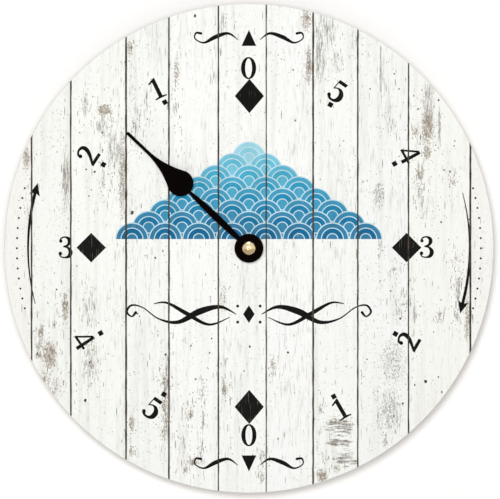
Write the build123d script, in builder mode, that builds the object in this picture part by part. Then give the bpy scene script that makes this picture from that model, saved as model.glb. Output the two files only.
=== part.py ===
"""Wall tide clock: a round printed board, one spade hand and a quartz movement behind it.

Millimetres, +Z up. The front faces -Y and the arbor lies along Y. The origin is on the arbor's
axis, in the plane of the wall that the back of the movement rests on. A height is the distance
from that wall towards the viewer.
"""

import os
from math import cos, radians, sin, sqrt

from build123d import *

# Board
BOARD_DIAMETER = 304.8
BOARD_THICKNESS = 6.0
BOARD_EDGE_EASE = 0.5

# Hand, along its own axis from the arbor
HAND_LENGTH = 104.6
HAND_THICKNESS = 0.6
HAND_HUB_RADIUS = 9.0
HAND_TURN = 46.5
HAND_TIP_HALF_WIDTH = 1.0
SPADE_RADIUS = 8.1
SPADE_CENTRE = 58.7
SPADE_TAPER_LENGTH = 25.0
SPADE_TAPER_SLOPE_SHARE = 0.5
STEM_ROOT_HALF_WIDTH = 1.5
STEM_BELLY_HALF_WIDTH = 2.15
STEM_NECK_HALF_WIDTH = 0.95
STEM_BELLY_SHARE = 0.45
STEM_SHOULDER_SHARE = 0.8
STEM_SHOULDER_WIDTH_SHARE = 0.78

# Cap nut
CAP_RADIUS = 4.25
CAP_RIM_HEIGHT = 0.9
CAP_HEIGHT = 3.6
CAP_TIP_RADIUS = 0.7
CAP_FLANK_BULGE = 0.35
CAP_ROOF = 1.0

# Bushing, nut and washers
BUSHING_RADIUS = 4.0
BUSHING_FLANGE_RADIUS = 6.0
BUSHING_FLANGE_THICKNESS = 0.8
BUSHING_BEYOND_NUT = 0.6
BUSHING_END_EASE = 0.3
NUT_ACROSS_FLATS = 12.0
NUT_THICKNESS = 2.5
NUT_CORNER_EASE = 0.4
DIAL_WASHER_RADIUS = 7.5
DIAL_WASHER_THICKNESS = 0.6
RUBBER_WASHER_RADIUS = 9.0
RUBBER_WASHER_THICKNESS = 1.0
STUD_CLEARANCE = 0.25

# Movement case
CASE_WIDTH = 56.0
CASE_HEIGHT = 56.0
CASE_DEPTH = 16.0
CASE_WALL = 1.4
CASE_CORNER_RADIUS = 3.0
CASE_FRONT_EASE = 0.6
DIVIDER_THICKNESS = 1.2
FINGER_NOTCH_RADIUS = 6.0

# Hanging ear: a plate above the case, a neck through its top wall and a foot inside
EAR_RADIUS = 6.5
EAR_HOLE_RADIUS = 3.5
EAR_THICKNESS = 3.0
EAR_RISE = 5.0
EAR_NECK_HALF_WIDTH = 4.0
EAR_FOOT_HALF_WIDTH = 5.5
EAR_FOOT_LENGTH = 1.4

# Main plate: it lies on the inside of the case's front wall, clamped there by the bushing's flange
PLATE_THICKNESS = 0.8
PLATE_SIDE_GAP = 0.1
PLATE_CORNER_RADIUS = 1.0

# Rear cover
COVER_THICKNESS = 1.6
COVER_LIP_WIDTH = 1.0
COVER_LIP_DEPTH = 1.8
COVER_GAP = 0.1
CLIP_WIDTH = 5.0
CLIP_DEPTH = 0.8
CLIP_REACH = 0.6
CLIP_HEIGHT_SHARES = (0.25, 0.75)

# Setting knob
KNOB_RADIUS = 6.0
KNOB_THICKNESS = 2.0
KNOB_SINK = 0.4
KNOB_SIDE_GAP = 0.5
KNOB_GRIP_RADIUS = 0.5
KNOB_GRIPS = 24
KNOB_EDGE_EASE = 0.2
KNOB_CUP_WALL = 1.0
KNOB_DIMPLE_RADIUS = 2.4
KNOB_DIMPLE_DEPTH = 0.6

# Dry cell, size AA: it fills the bay's length but for the room at its ends
CELL_RADIUS = 7.1
CELL_END_ROOM = 3.0
CELL_CLEARANCE = 0.25
CELL_NUB_RADIUS = 2.75
CELL_NUB_LENGTH = 1.2
CELL_EDGE_RADIUS = 0.6
CELL_END_GAP = 0.1

# Battery contacts
CONTACT_THICKNESS = 0.3
CONTACT_WIDTH = 6.0
CONTACT_SIDE_GAP = 0.1
CONTACT_FOOT_GAP = 2.0
CONTACT_TAB_LENGTH = 6.0
CONTACT_BOW_HALF_SPAN = 5.0

# Unit of the works: a millimetre in a case of this size, and less in a smaller one
WIDTH_UNIT_SHARE = 1 / 53.2
HEIGHT_UNIT_SHARE = 1 / 37.3
bay_height = 2 * (CELL_RADIUS + CELL_CLEARANCE)
chamber_width = CASE_WIDTH - 2 * CASE_WALL
chamber_height = CASE_HEIGHT - 2 * CASE_WALL - DIVIDER_THICKNESS - bay_height
UNIT = min(WIDTH_UNIT_SHARE * chamber_width, HEIGHT_UNIT_SHARE * chamber_height)

# Fits
RUNNING_GAP = 0.04
PRESS_GAP = 0.02
END_SHAKE = 0.15
FACE_GAP = 0.05

# Arbors and pivots
ARBOR_RISE = 10.7 * UNIT
ARBOR_RADIUS = 0.5 * UNIT
PIVOT_RADIUS = 0.4 * UNIT
TIDE_ARBOR_RADIUS = 1.75
TIDE_PIVOT_RADIUS = 0.8
KNOB_SHAFT_RADIUS = 1.2 * UNIT
HAND_SEAT_RADIUS = 1.4
HAND_SEAT_FLATS = 2.0
HAND_STANDOFF = 0.9
CAP_THREAD_RADIUS = 0.9

# Toothed wheels: teeth, modules and thicknesses
TIDE_TEETH = 60
CLUTCH_PINION_TEETH = 10
SETTING_TEETH = 12
CLUTCH_TEETH = 48
THIRD_PINION_TEETH = 8
THIRD_TEETH = 60
SECOND_PINION_TEETH = 8
SECOND_TEETH = 64
ROTOR_TEETH = 8
TIDE_MODULE = 0.30 * UNIT
CLUTCH_MODULE = 0.30 * UNIT
THIRD_MODULE = 0.22 * UNIT
SECOND_MODULE = 0.20 * UNIT
TIDE_WHEEL_THICKNESS = 1.2
TRAIN_WHEEL_THICKNESS = 0.8
LEVEL_GAP = 0.7
PINION_OVERHANG = 0.25
WHEEL_FACE_GAP = 0.3
WHEEL_HOLES = 5
WHEEL_HOLE_PLACE_SHARE = 0.6
WHEEL_HOLE_RADIUS_SHARE = 0.16
CLUTCH_SHOULDER_RADIUS = 1.2 * UNIT
CLUTCH_SPRING_RADIUS = 3.2 * UNIT
CLUTCH_SPRING_CORNER = 0.5 * UNIT
CLUTCH_SPRING_THICKNESS = 0.3

# Tooth forms, in modules
WHEEL_TIP_SHARE = 1.15
WHEEL_ROOT_SHARE = 1.4
WHEEL_HALF_TOOTH_SHARE = 0.76
WHEEL_HALF_TIP_SHARE = 0.25
LEAF_TIP_SHARE = 0.6
LEAF_ROOT_SHARE = 1.6
LEAF_HALF_TOOTH_SHARE = 0.5
LEAF_HALF_TIP_SHARE = 0.25

# Directions from one arbor to the next, anticlockwise from +X as seen from the front
CLUTCH_DIRECTION = 140.0
SETTING_DIRECTION = 20.0
THIRD_DIRECTION = 60.0
SECOND_DIRECTION = 10.0
ROTOR_DIRECTION = -10.0

# Train bridge and its posts, with the posts' places in units of the works
BRIDGE_THICKNESS = 1.2
BRIDGE_CORNER_RADIUS = 2.0 * UNIT
BRIDGE_MARGIN = 2.0 * UNIT
POST_RADIUS = 1.5 * UNIT
PEG_RADIUS = 0.7 * UNIT
BRIDGE_POST_SHARES = [(-12.6, -6.7), (-15.4, 20.4), (13.2, -6.4), (2.2, 24.0)]

# Stepping motor
MAGNET_RADIUS = 3.0 * UNIT
MAGNET_HEIGHT = 2.4
STATOR_THICKNESS = 0.8
STATOR_AIR_GAP = 0.5 * UNIT
STATOR_POLE_HALF = 5.2 * UNIT
STATOR_ARM_WIDTH = 3.4 * UNIT
STATOR_ARM_OFFSET = 6.6 * UNIT
STATOR_ARM_BEYOND = 2.0 * UNIT
STATOR_POST_OFFSET = 4.0 * UNIT
STATOR_NOTCH_RADIUS = 0.5 * UNIT
CORE_WIDTH = 3.0 * UNIT
CORE_THICKNESS = 0.8
BOBBIN_WALL = 0.4
BOBBIN_FLANGE = 0.6
BOBBIN_END_GAP = 0.4
WINDING_RADIUS = 2.9 * UNIT
COIL_WALL_GAP = 0.6

# Circuit
PCB_WIDTH = 9.0 * UNIT
PCB_HEIGHT = 16.0 * UNIT
PCB_THICKNESS = 1.0
PCB_LIFT = 6.0
PCB_EDGE_GAP = 0.1
PCB_FLOOR_GAP = 0.5
PCB_POST_SHARES = [(-0.3, -0.36), (0.3, 0.3)]
CHIP_COVER_RADIUS = 2.4 * UNIT
CHIP_COVER_HEIGHT = 0.9
CHIP_HEIGHT_SHARE = 0.05
CRYSTAL_RADIUS = 1.0 * UNIT
CRYSTAL_LENGTH = 6.0 * UNIT
CRYSTAL_PLACE_SHARES = (-0.02, 0.31)

# Heights above the wall
case_front_inside = CASE_DEPTH - CASE_WALL
board_back = CASE_DEPTH + RUBBER_WASHER_THICKNESS
board_front = board_back + BOARD_THICKNESS
nut_seat = board_front + DIAL_WASHER_THICKNESS
nut_front = nut_seat + NUT_THICKNESS
bushing_end = nut_front + BUSHING_BEYOND_NUT
hand_back = bushing_end + HAND_STANDOFF
hand_front = hand_back + HAND_THICKNESS
cap_front = hand_front + CAP_HEIGHT
plate_back = case_front_inside - PLATE_THICKNESS
bushing_flange_back = plate_back - BUSHING_FLANGE_THICKNESS
tide_front = bushing_flange_back - WHEEL_FACE_GAP
tide_back = tide_front - TIDE_WHEEL_THICKNESS
clutch_front = tide_back - LEVEL_GAP
clutch_back = clutch_front - TRAIN_WHEEL_THICKNESS
third_front = clutch_back - LEVEL_GAP
third_back = third_front - TRAIN_WHEEL_THICKNESS
second_front = third_back - LEVEL_GAP
second_back = second_front - TRAIN_WHEEL_THICKNESS
bridge_front = second_back - LEVEL_GAP
bridge_back = bridge_front - BRIDGE_THICKNESS
arbor_front = plate_back - END_SHAKE
arbor_back = bridge_front + END_SHAKE
pivot_front = case_front_inside - END_SHAKE
knob_back = KNOB_SINK
knob_front = knob_back + KNOB_THICKNESS
knob_cup_floor = knob_front + END_SHAKE
knob_cup_front = knob_cup_floor + KNOB_CUP_WALL
lip_front = COVER_THICKNESS + COVER_LIP_DEPTH
clip_back = lip_front - CLIP_DEPTH
ear_back = COVER_THICKNESS
ear_front = ear_back + EAR_THICKNESS
cell_height = case_front_inside - CELL_CLEARANCE - CELL_RADIUS
contact_back = cell_height - CONTACT_WIDTH / 2
contact_front = cell_height + CONTACT_WIDTH / 2
stator_middle = (clutch_front + clutch_back) / 2
stator_back = stator_middle - STATOR_THICKNESS / 2
stator_front = stator_middle + STATOR_THICKNESS / 2
core_back = stator_back - CORE_THICKNESS
coil_height = core_back + CORE_THICKNESS / 2
pcb_front = case_front_inside - PCB_LIFT
pcb_back = pcb_front - PCB_THICKNESS

# Places across the case, x to the right and z up from the arbor
inside_half = chamber_width / 2
chamber_floor = -ARBOR_RISE
chamber_roof = chamber_floor + chamber_height
bay_roof = chamber_floor - DIVIDER_THICKNESS
bay_floor = bay_roof - bay_height
case_low = bay_floor - CASE_WALL
case_top = chamber_roof + CASE_WALL
case_middle = (case_low + case_top) / 2
clip_places = [chamber_floor + share * chamber_height for share in CLIP_HEIGHT_SHARES]
cell_length = chamber_width - CELL_END_ROOM
cell_z = (bay_floor + bay_roof) / 2
cell_positive_x = inside_half - CONTACT_THICKNESS - CELL_END_GAP
cell_negative_x = cell_positive_x - cell_length
ear_z = case_top + EAR_RISE
pcb_x = inside_half - CONTACT_THICKNESS - PCB_EDGE_GAP - PCB_WIDTH / 2
pcb_z = chamber_floor + CONTACT_THICKNESS + PCB_FLOOR_GAP + PCB_HEIGHT / 2
coil_x = inside_half - COIL_WALL_GAP - WINDING_RADIUS


def step_from(place, direction, distance):
    """The place reached from another one along a direction across the case."""
    angle = radians(direction)
    return (place[0] + distance * cos(angle), place[1] + distance * sin(angle))


def mesh_distance(wheel_teeth, pinion_teeth, module):
    """Centre distance of a wheel and a pinion."""
    return (wheel_teeth + pinion_teeth) * module / 2


tide_place = (0, 0)
clutch_place = step_from(
    tide_place, CLUTCH_DIRECTION, mesh_distance(TIDE_TEETH, CLUTCH_PINION_TEETH, TIDE_MODULE)
)
setting_place = step_from(
    tide_place, SETTING_DIRECTION, mesh_distance(TIDE_TEETH, SETTING_TEETH, TIDE_MODULE)
)
third_place = step_from(
    clutch_place, THIRD_DIRECTION, mesh_distance(CLUTCH_TEETH, THIRD_PINION_TEETH, CLUTCH_MODULE)
)
second_place = step_from(
    third_place, SECOND_DIRECTION, mesh_distance(THIRD_TEETH, SECOND_PINION_TEETH, THIRD_MODULE)
)
rotor_place = step_from(
    second_place, ROTOR_DIRECTION, mesh_distance(SECOND_TEETH, ROTOR_TEETH, SECOND_MODULE)
)
pivot_places = [clutch_place, setting_place, third_place, second_place, rotor_place]
bridge_posts = [(across * UNIT, up * UNIT) for across, up in BRIDGE_POST_SHARES]
stator_arm_z = [rotor_place[1] + side * STATOR_ARM_OFFSET for side in (-1, 1)]
stator_posts = [(rotor_place[0] + STATOR_POST_OFFSET, z) for z in stator_arm_z]
pcb_posts = [(pcb_x + across * PCB_WIDTH, pcb_z + up * PCB_HEIGHT) for across, up in PCB_POST_SHARES]


def across(height):
    """The plane across the arbor at a height above the wall, facing the viewer."""
    return Plane.XZ.offset(height)


def add_round(radius, start, end, place=tide_place, mode=Mode.ADD):
    """A round length between two heights, on an axis across the board."""
    with BuildSketch(across(start)) as section:
        with Locations(place):
            Circle(radius)
    extrude(section.sketch, amount=end - start, mode=mode)


def add_block(low, high, start, end, mode=Mode.ADD):
    """A square-cornered block from a low to a high corner, between two heights."""
    with BuildSketch(across(start)) as section:
        with Locations(((low[0] + high[0]) / 2, (low[1] + high[1]) / 2)):
            Rectangle(high[0] - low[0], high[1] - low[1])
    extrude(section.sketch, amount=end - start, mode=mode)


def add_teeth(teeth, module, profile, first_tooth, start, end, place):
    """A toothed disc: straight flanks that lean in from the pitch circle to a narrow tip."""
    tip_share, root_share, half_tooth_share, half_tip_share = profile
    pitch_radius = teeth * module / 2
    root_radius = pitch_radius - root_share * module
    tip_radius = pitch_radius + tip_share * module
    half_tooth = half_tooth_share * module / pitch_radius
    half_tip = half_tip_share * module / tip_radius
    corners = [
        (root_radius, -half_tooth),
        (pitch_radius, -half_tooth),
        (tip_radius, -half_tip),
        (tip_radius, half_tip),
        (pitch_radius, half_tooth),
        (root_radius, half_tooth),
    ]
    points = []
    for tooth in range(teeth):
        middle = radians(first_tooth + tooth * 360 / teeth)
        for radius, turn in corners:
            points.append((place[0] + radius * cos(middle + turn), place[1] + radius * sin(middle + turn)))
    with BuildSketch(across(start)) as section:
        with BuildLine():
            Polyline(*points, close=True)
        make_face()
    extrude(section.sketch, amount=end - start)


WHEEL_PROFILE_SHARES = (WHEEL_TIP_SHARE, WHEEL_ROOT_SHARE, WHEEL_HALF_TOOTH_SHARE, WHEEL_HALF_TIP_SHARE)
LEAF_PROFILE_SHARES = (LEAF_TIP_SHARE, LEAF_ROOT_SHARE, LEAF_HALF_TOOTH_SHARE, LEAF_HALF_TIP_SHARE)


def add_wheel(teeth, module, direction, back, front, place):
    """A wheel with a gap between teeth on the line towards its pinion, and a ring of round holes."""
    add_teeth(teeth, module, WHEEL_PROFILE_SHARES, direction + 180 / teeth, back, front, place)
    pitch_radius = teeth * module / 2
    with BuildSketch(across(back)) as holes:
        with Locations(place):
            with PolarLocations(WHEEL_HOLE_PLACE_SHARE * pitch_radius, WHEEL_HOLES):
                Circle(WHEEL_HOLE_RADIUS_SHARE * pitch_radius)
    extrude(holes.sketch, amount=front - back, mode=Mode.SUBTRACT)


def add_pinion(teeth, module, direction, wheel_back, wheel_front, place):
    """A pinion with a leaf on the line back to its wheel, wider than that wheel."""
    back = wheel_back - PINION_OVERHANG
    front = wheel_front + PINION_OVERHANG
    add_teeth(teeth, module, LEAF_PROFILE_SHARES, direction + 180, back, front, place)


def add_arbor(place):
    """A thin arbor with a pivot at each end, from the bridge to the main plate."""
    add_round(PIVOT_RADIUS, bridge_back, pivot_front, place)
    add_round(ARBOR_RADIUS, arbor_back, arbor_front, place)


# Board: a round panel with eased edges and the centre hole for the bushing
with BuildPart() as dial_board:
    add_round(BOARD_DIAMETER / 2, board_back, board_front)
    chamfer(dial_board.edges().filter_by(GeomType.CIRCLE), BOARD_EDGE_EASE)
    add_round(BUSHING_RADIUS + STUD_CLEARANCE, board_back, board_front, mode=Mode.SUBTRACT)

# Hand: hub, swelling stem, round-backed spade and a thin tip, drawn along +Y and turned
spade_shoulder = SPADE_CENTRE + SPADE_RADIUS * SPADE_TAPER_SLOPE_SHARE / sqrt(1 + SPADE_TAPER_SLOPE_SHARE**2)
spade_shoulder_half = SPADE_RADIUS / sqrt(1 + SPADE_TAPER_SLOPE_SHARE**2)
spade_lead = (spade_shoulder_half - HAND_TIP_HALF_WIDTH) / SPADE_TAPER_SLOPE_SHARE
stem_root = sqrt(HAND_HUB_RADIUS**2 - STEM_ROOT_HALF_WIDTH**2)
stem_neck = SPADE_CENTRE - sqrt(SPADE_RADIUS**2 - STEM_NECK_HALF_WIDTH**2)
stem_length = stem_neck - stem_root
stem_shoulder_half = STEM_SHOULDER_WIDTH_SHARE * STEM_BELLY_HALF_WIDTH
tip_start = HAND_LENGTH - HAND_TIP_HALF_WIDTH
hand_plane = Plane(
    origin=across(hand_back).origin,
    x_dir=(cos(radians(HAND_TURN)), 0, sin(radians(HAND_TURN))),
    z_dir=across(hand_back).z_dir,
)

with BuildPart() as tide_hand:
    with BuildSketch(hand_plane) as hand_outline:
        with BuildLine():
            Line((0, 0), (STEM_ROOT_HALF_WIDTH, 0))
            Line((STEM_ROOT_HALF_WIDTH, 0), (STEM_ROOT_HALF_WIDTH, stem_root))
            Spline(
                (STEM_ROOT_HALF_WIDTH, stem_root),
                (STEM_BELLY_HALF_WIDTH, stem_root + STEM_BELLY_SHARE * stem_length),
                (stem_shoulder_half, stem_root + STEM_SHOULDER_SHARE * stem_length),
                (STEM_NECK_HALF_WIDTH, stem_neck),
            )
            ThreePointArc(
                (STEM_NECK_HALF_WIDTH, stem_neck),
                (SPADE_RADIUS, SPADE_CENTRE),
                (spade_shoulder_half, spade_shoulder),
            )
            Bezier(
                (spade_shoulder_half, spade_shoulder),
                (HAND_TIP_HALF_WIDTH, spade_shoulder + spade_lead),
                (HAND_TIP_HALF_WIDTH, spade_shoulder + SPADE_TAPER_LENGTH),
            )
            Line((HAND_TIP_HALF_WIDTH, spade_shoulder + SPADE_TAPER_LENGTH), (HAND_TIP_HALF_WIDTH, tip_start))
            RadiusArc((HAND_TIP_HALF_WIDTH, tip_start), (0, HAND_LENGTH), -HAND_TIP_HALF_WIDTH)
            Line((0, HAND_LENGTH), (0, 0))
        make_face()
        mirror(about=Plane.YZ)
        Circle(HAND_HUB_RADIUS)
    extrude(amount=HAND_THICKNESS)
    with BuildSketch(hand_plane) as hand_seat_hole:
        Circle(HAND_SEAT_RADIUS + PRESS_GAP)
        Rectangle(
            2 * (HAND_SEAT_RADIUS + PRESS_GAP), HAND_SEAT_FLATS + 2 * PRESS_GAP, mode=Mode.INTERSECT
        )
    extrude(amount=HAND_THICKNESS, mode=Mode.SUBTRACT)

# Cap nut: a low pointed dome over a short rim, with a blind threaded hole
with BuildPart() as cap_nut:
    with BuildSketch(Plane.XY) as cap_profile:
        with BuildLine():
            cap_base = (0, -hand_front)
            cap_rim_low = (CAP_RADIUS, -hand_front)
            cap_rim_high = (CAP_RADIUS, -hand_front - CAP_RIM_HEIGHT)
            cap_shoulder = (CAP_TIP_RADIUS, -cap_front + CAP_TIP_RADIUS / 2)
            Polyline(cap_base, cap_rim_low, cap_rim_high)
            ThreePointArc(
                cap_rim_high,
                (
                    (CAP_RADIUS + CAP_TIP_RADIUS) / 2 + CAP_FLANK_BULGE,
                    (cap_rim_high[1] + cap_shoulder[1]) / 2 - CAP_FLANK_BULGE,
                ),
                cap_shoulder,
            )
            Spline(cap_shoulder, (0, -cap_front), tangents=[(-1, -1), (-1, 0)])
            Line((0, -cap_front), cap_base)
        make_face()
    revolve(axis=Axis.Y)
    add_round(CAP_THREAD_RADIUS + PRESS_GAP, hand_front, cap_front - CAP_ROOF, mode=Mode.SUBTRACT)

# Bushing: flanged inside the case, threaded through the board, bored for the arbor
with BuildPart() as threaded_bushing:
    add_round(BUSHING_FLANGE_RADIUS, bushing_flange_back, plate_back)
    add_round(BUSHING_RADIUS, plate_back, bushing_end)
    chamfer(threaded_bushing.faces().sort_by(Axis.Y)[0].edges(), BUSHING_END_EASE)
    add_round(
        TIDE_ARBOR_RADIUS + RUNNING_GAP, bushing_flange_back, bushing_end, mode=Mode.SUBTRACT
    )

with BuildPart() as rubber_washer:
    add_round(RUBBER_WASHER_RADIUS, CASE_DEPTH, board_back)
    add_round(BUSHING_RADIUS + STUD_CLEARANCE, CASE_DEPTH, board_back, mode=Mode.SUBTRACT)

with BuildPart() as dial_washer:
    add_round(DIAL_WASHER_RADIUS, board_front, nut_seat)
    add_round(BUSHING_RADIUS + STUD_CLEARANCE, board_front, nut_seat, mode=Mode.SUBTRACT)

# Nut: a hexagon with its corners turned off
with BuildPart() as bushing_nut:
    with BuildSketch(across(nut_seat)):
        RegularPolygon(NUT_ACROSS_FLATS / 2, 6, major_radius=False)
    extrude(amount=NUT_THICKNESS)
    chamfer(bushing_nut.edges().filter_by(Axis.Y), NUT_CORNER_EASE)
    add_round(BUSHING_RADIUS + PRESS_GAP, nut_seat, nut_front, mode=Mode.SUBTRACT)

# Case: an open-backed moulding with a battery bay below and a works chamber above
with BuildPart() as movement_case:
    with BuildSketch(across(0)):
        with Locations((0, case_middle)):
            RectangleRounded(CASE_WIDTH, CASE_HEIGHT, CASE_CORNER_RADIUS)
    extrude(amount=CASE_DEPTH)
    chamfer(movement_case.faces().sort_by(Axis.Y)[0].edges(), CASE_FRONT_EASE)
    add_block((-inside_half, bay_floor), (inside_half, bay_roof), 0, case_front_inside, Mode.SUBTRACT)
    add_block(
        (-inside_half, chamber_floor), (inside_half, chamber_roof), 0, case_front_inside, Mode.SUBTRACT
    )
    add_block(
        (-CASE_WIDTH / 2, chamber_floor), (CASE_WIDTH / 2, case_top), 0, COVER_THICKNESS, Mode.SUBTRACT
    )
    ear_notch_half = EAR_NECK_HALF_WIDTH + PRESS_GAP
    add_block((-ear_notch_half, chamber_roof), (ear_notch_half, case_top), ear_back, ear_front, Mode.SUBTRACT)
    add_round(FINGER_NOTCH_RADIUS, 0, FINGER_NOTCH_RADIUS, (0, case_low), Mode.SUBTRACT)
    for z in clip_places:
        add_block(
            (-CASE_WIDTH / 2, z - CLIP_WIDTH / 2 - COVER_GAP),
            (CASE_WIDTH / 2, z + CLIP_WIDTH / 2 + COVER_GAP),
            clip_back - COVER_GAP,
            lip_front + COVER_GAP,
            Mode.SUBTRACT,
        )
    for side in (-1, 1):
        notch_outer = side * inside_half
        notch_inner = side * (inside_half - CONTACT_THICKNESS - CONTACT_SIDE_GAP)
        add_block(
            (min(notch_outer, notch_inner), bay_roof),
            (max(notch_outer, notch_inner), chamber_floor),
            contact_back - CONTACT_SIDE_GAP,
            contact_front + CONTACT_SIDE_GAP,
            Mode.SUBTRACT,
        )
    add_round(BUSHING_RADIUS + PRESS_GAP, case_front_inside, CASE_DEPTH, mode=Mode.SUBTRACT)

# Main plate: it carries the front pivots and the posts for the bridge, the stator and the circuit
with BuildPart() as main_plate:
    with BuildSketch(across(plate_back)):
        with Locations((0, (chamber_floor + chamber_roof) / 2)):
            RectangleRounded(
                chamber_width - 2 * PLATE_SIDE_GAP, chamber_height - 2 * PLATE_SIDE_GAP, PLATE_CORNER_RADIUS
            )
        with Locations(*pivot_places):
            Circle(PIVOT_RADIUS + RUNNING_GAP, mode=Mode.SUBTRACT)
        Circle(BUSHING_RADIUS + PRESS_GAP, mode=Mode.SUBTRACT)
    extrude(amount=PLATE_THICKNESS)
    for place in bridge_posts:
        add_round(POST_RADIUS, bridge_front, plate_back, place)
        add_round(PEG_RADIUS, bridge_back, bridge_front, place)
    for place in stator_posts:
        add_round(POST_RADIUS, stator_front, plate_back, place)
        add_round(PEG_RADIUS, stator_back, stator_front, place)
    for place in pcb_posts:
        add_round(POST_RADIUS, pcb_front, plate_back, place)
        add_round(PEG_RADIUS, pcb_back, pcb_front, place)

# Hanging ear: its foot drops into the case from behind and the cover shuts it in
with BuildPart() as hanging_ear:
    with BuildSketch(across(ear_back)):
        with Locations((0, ear_z)):
            Circle(EAR_RADIUS)
        with Locations((0, case_top - EAR_RADIUS)):
            Rectangle(2 * EAR_RADIUS, 2 * EAR_RADIUS, mode=Mode.SUBTRACT)
        with Locations((0, (ear_z + case_top) / 2)):
            Rectangle(2 * EAR_RADIUS, ear_z - case_top)
        with Locations((0, (case_top + chamber_roof) / 2)):
            Rectangle(2 * EAR_NECK_HALF_WIDTH, CASE_WALL)
        with Locations((0, chamber_roof - EAR_FOOT_LENGTH / 2)):
            Rectangle(2 * EAR_FOOT_HALF_WIDTH, EAR_FOOT_LENGTH)
        with Locations((0, ear_z)):
            Circle(EAR_HOLE_RADIUS, mode=Mode.SUBTRACT)
    extrude(amount=EAR_THICKNESS)

# Rear cover: a flat lid over the works with a clipped lip and a cup for the setting knob
with BuildPart() as rear_cover:
    cover_low = chamber_floor + COVER_GAP
    with BuildSketch(across(0)):
        with Locations((0, case_middle)):
            RectangleRounded(CASE_WIDTH, CASE_HEIGHT, CASE_CORNER_RADIUS)
        with Locations((0, (cover_low + case_low) / 2)):
            Rectangle(CASE_WIDTH, cover_low - case_low, mode=Mode.SUBTRACT)
    extrude(amount=COVER_THICKNESS)
    lip_half = inside_half - COVER_GAP
    lip_low = chamber_floor + COVER_GAP
    lip_high = chamber_roof - COVER_GAP
    add_block((-lip_half, lip_low), (lip_half, lip_high), COVER_THICKNESS, lip_front)
    add_block(
        (-lip_half + COVER_LIP_WIDTH, lip_low + COVER_LIP_WIDTH),
        (lip_half - COVER_LIP_WIDTH, lip_high - COVER_LIP_WIDTH),
        COVER_THICKNESS,
        lip_front,
        Mode.SUBTRACT,
    )
    ear_gap_half = EAR_FOOT_HALF_WIDTH + COVER_GAP
    ear_gap_low = lip_high - COVER_LIP_WIDTH
    add_block((-ear_gap_half, ear_gap_low), (ear_gap_half, lip_high), COVER_THICKNESS, lip_front, Mode.SUBTRACT)
    for z in clip_places:
        for side in (-1, 1):
            clip_root = side * lip_half
            clip_tip = side * (lip_half + CLIP_REACH)
            add_block(
                (min(clip_root, clip_tip), z - CLIP_WIDTH / 2),
                (max(clip_root, clip_tip), z + CLIP_WIDTH / 2),
                clip_back,
                lip_front,
            )
    knob_cup_radius = KNOB_RADIUS + KNOB_SIDE_GAP
    add_round(knob_cup_radius + KNOB_CUP_WALL, 0, knob_cup_front, setting_place)
    add_round(knob_cup_radius, 0, knob_cup_floor, setting_place, Mode.SUBTRACT)
    add_round(
        KNOB_SHAFT_RADIUS + RUNNING_GAP, knob_cup_floor, knob_cup_front, setting_place, Mode.SUBTRACT
    )

# Bridge: the plate behind the train that carries the back pivots, seated on the main plate's posts
with BuildPart() as train_bridge:
    reach = POST_RADIUS + BRIDGE_MARGIN
    bridge_left = min(place[0] for place in bridge_posts) - reach
    bridge_right = max(place[0] for place in bridge_posts + pivot_places) + reach
    bridge_low = min(place[1] for place in bridge_posts) - POST_RADIUS
    bridge_high = max(place[1] for place in bridge_posts) + POST_RADIUS
    with BuildSketch(across(bridge_back)):
        with Locations(((bridge_left + bridge_right) / 2, (bridge_low + bridge_high) / 2)):
            RectangleRounded(bridge_right - bridge_left, bridge_high - bridge_low, BRIDGE_CORNER_RADIUS)
        with Locations(*bridge_posts):
            Circle(PEG_RADIUS + PRESS_GAP, mode=Mode.SUBTRACT)
        with Locations(clutch_place, third_place, second_place, rotor_place):
            Circle(PIVOT_RADIUS + RUNNING_GAP, mode=Mode.SUBTRACT)
        with Locations(setting_place):
            Circle(KNOB_SHAFT_RADIUS + RUNNING_GAP, mode=Mode.SUBTRACT)
        Circle(TIDE_PIVOT_RADIUS + RUNNING_GAP, mode=Mode.SUBTRACT)
    extrude(amount=BRIDGE_THICKNESS)

# Arbor of the hand: back pivot, long bearing, flatted hand seat and threaded end
with BuildPart() as tide_arbor:
    add_round(TIDE_PIVOT_RADIUS, bridge_back, arbor_back)
    add_round(TIDE_ARBOR_RADIUS, arbor_back, hand_back)
    with BuildSketch(hand_plane):
        Circle(HAND_SEAT_RADIUS)
        Rectangle(2 * HAND_SEAT_RADIUS, HAND_SEAT_FLATS, mode=Mode.INTERSECT)
    extrude(amount=HAND_THICKNESS)
    add_round(CAP_THREAD_RADIUS, hand_front, cap_front - CAP_ROOF - END_SHAKE)

with BuildPart() as tide_wheel:
    add_wheel(TIDE_TEETH, TIDE_MODULE, CLUTCH_DIRECTION, tide_back, tide_front, tide_place)
    add_round(TIDE_ARBOR_RADIUS + PRESS_GAP, tide_back, tide_front, mode=Mode.SUBTRACT)

# Friction clutch: the pinion's arbor slips inside the wheel that the motor drives
with BuildPart() as clutch_pinion:
    add_pinion(CLUTCH_PINION_TEETH, TIDE_MODULE, CLUTCH_DIRECTION, tide_back, tide_front, clutch_place)
    add_arbor(clutch_place)
    add_round(
        CLUTCH_SHOULDER_RADIUS, clutch_front + FACE_GAP, tide_back - PINION_OVERHANG, clutch_place
    )

with BuildPart() as clutch_wheel:
    add_wheel(CLUTCH_TEETH, CLUTCH_MODULE, THIRD_DIRECTION, clutch_back, clutch_front, clutch_place)
    add_round(ARBOR_RADIUS + RUNNING_GAP, clutch_back, clutch_front, clutch_place, Mode.SUBTRACT)

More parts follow.
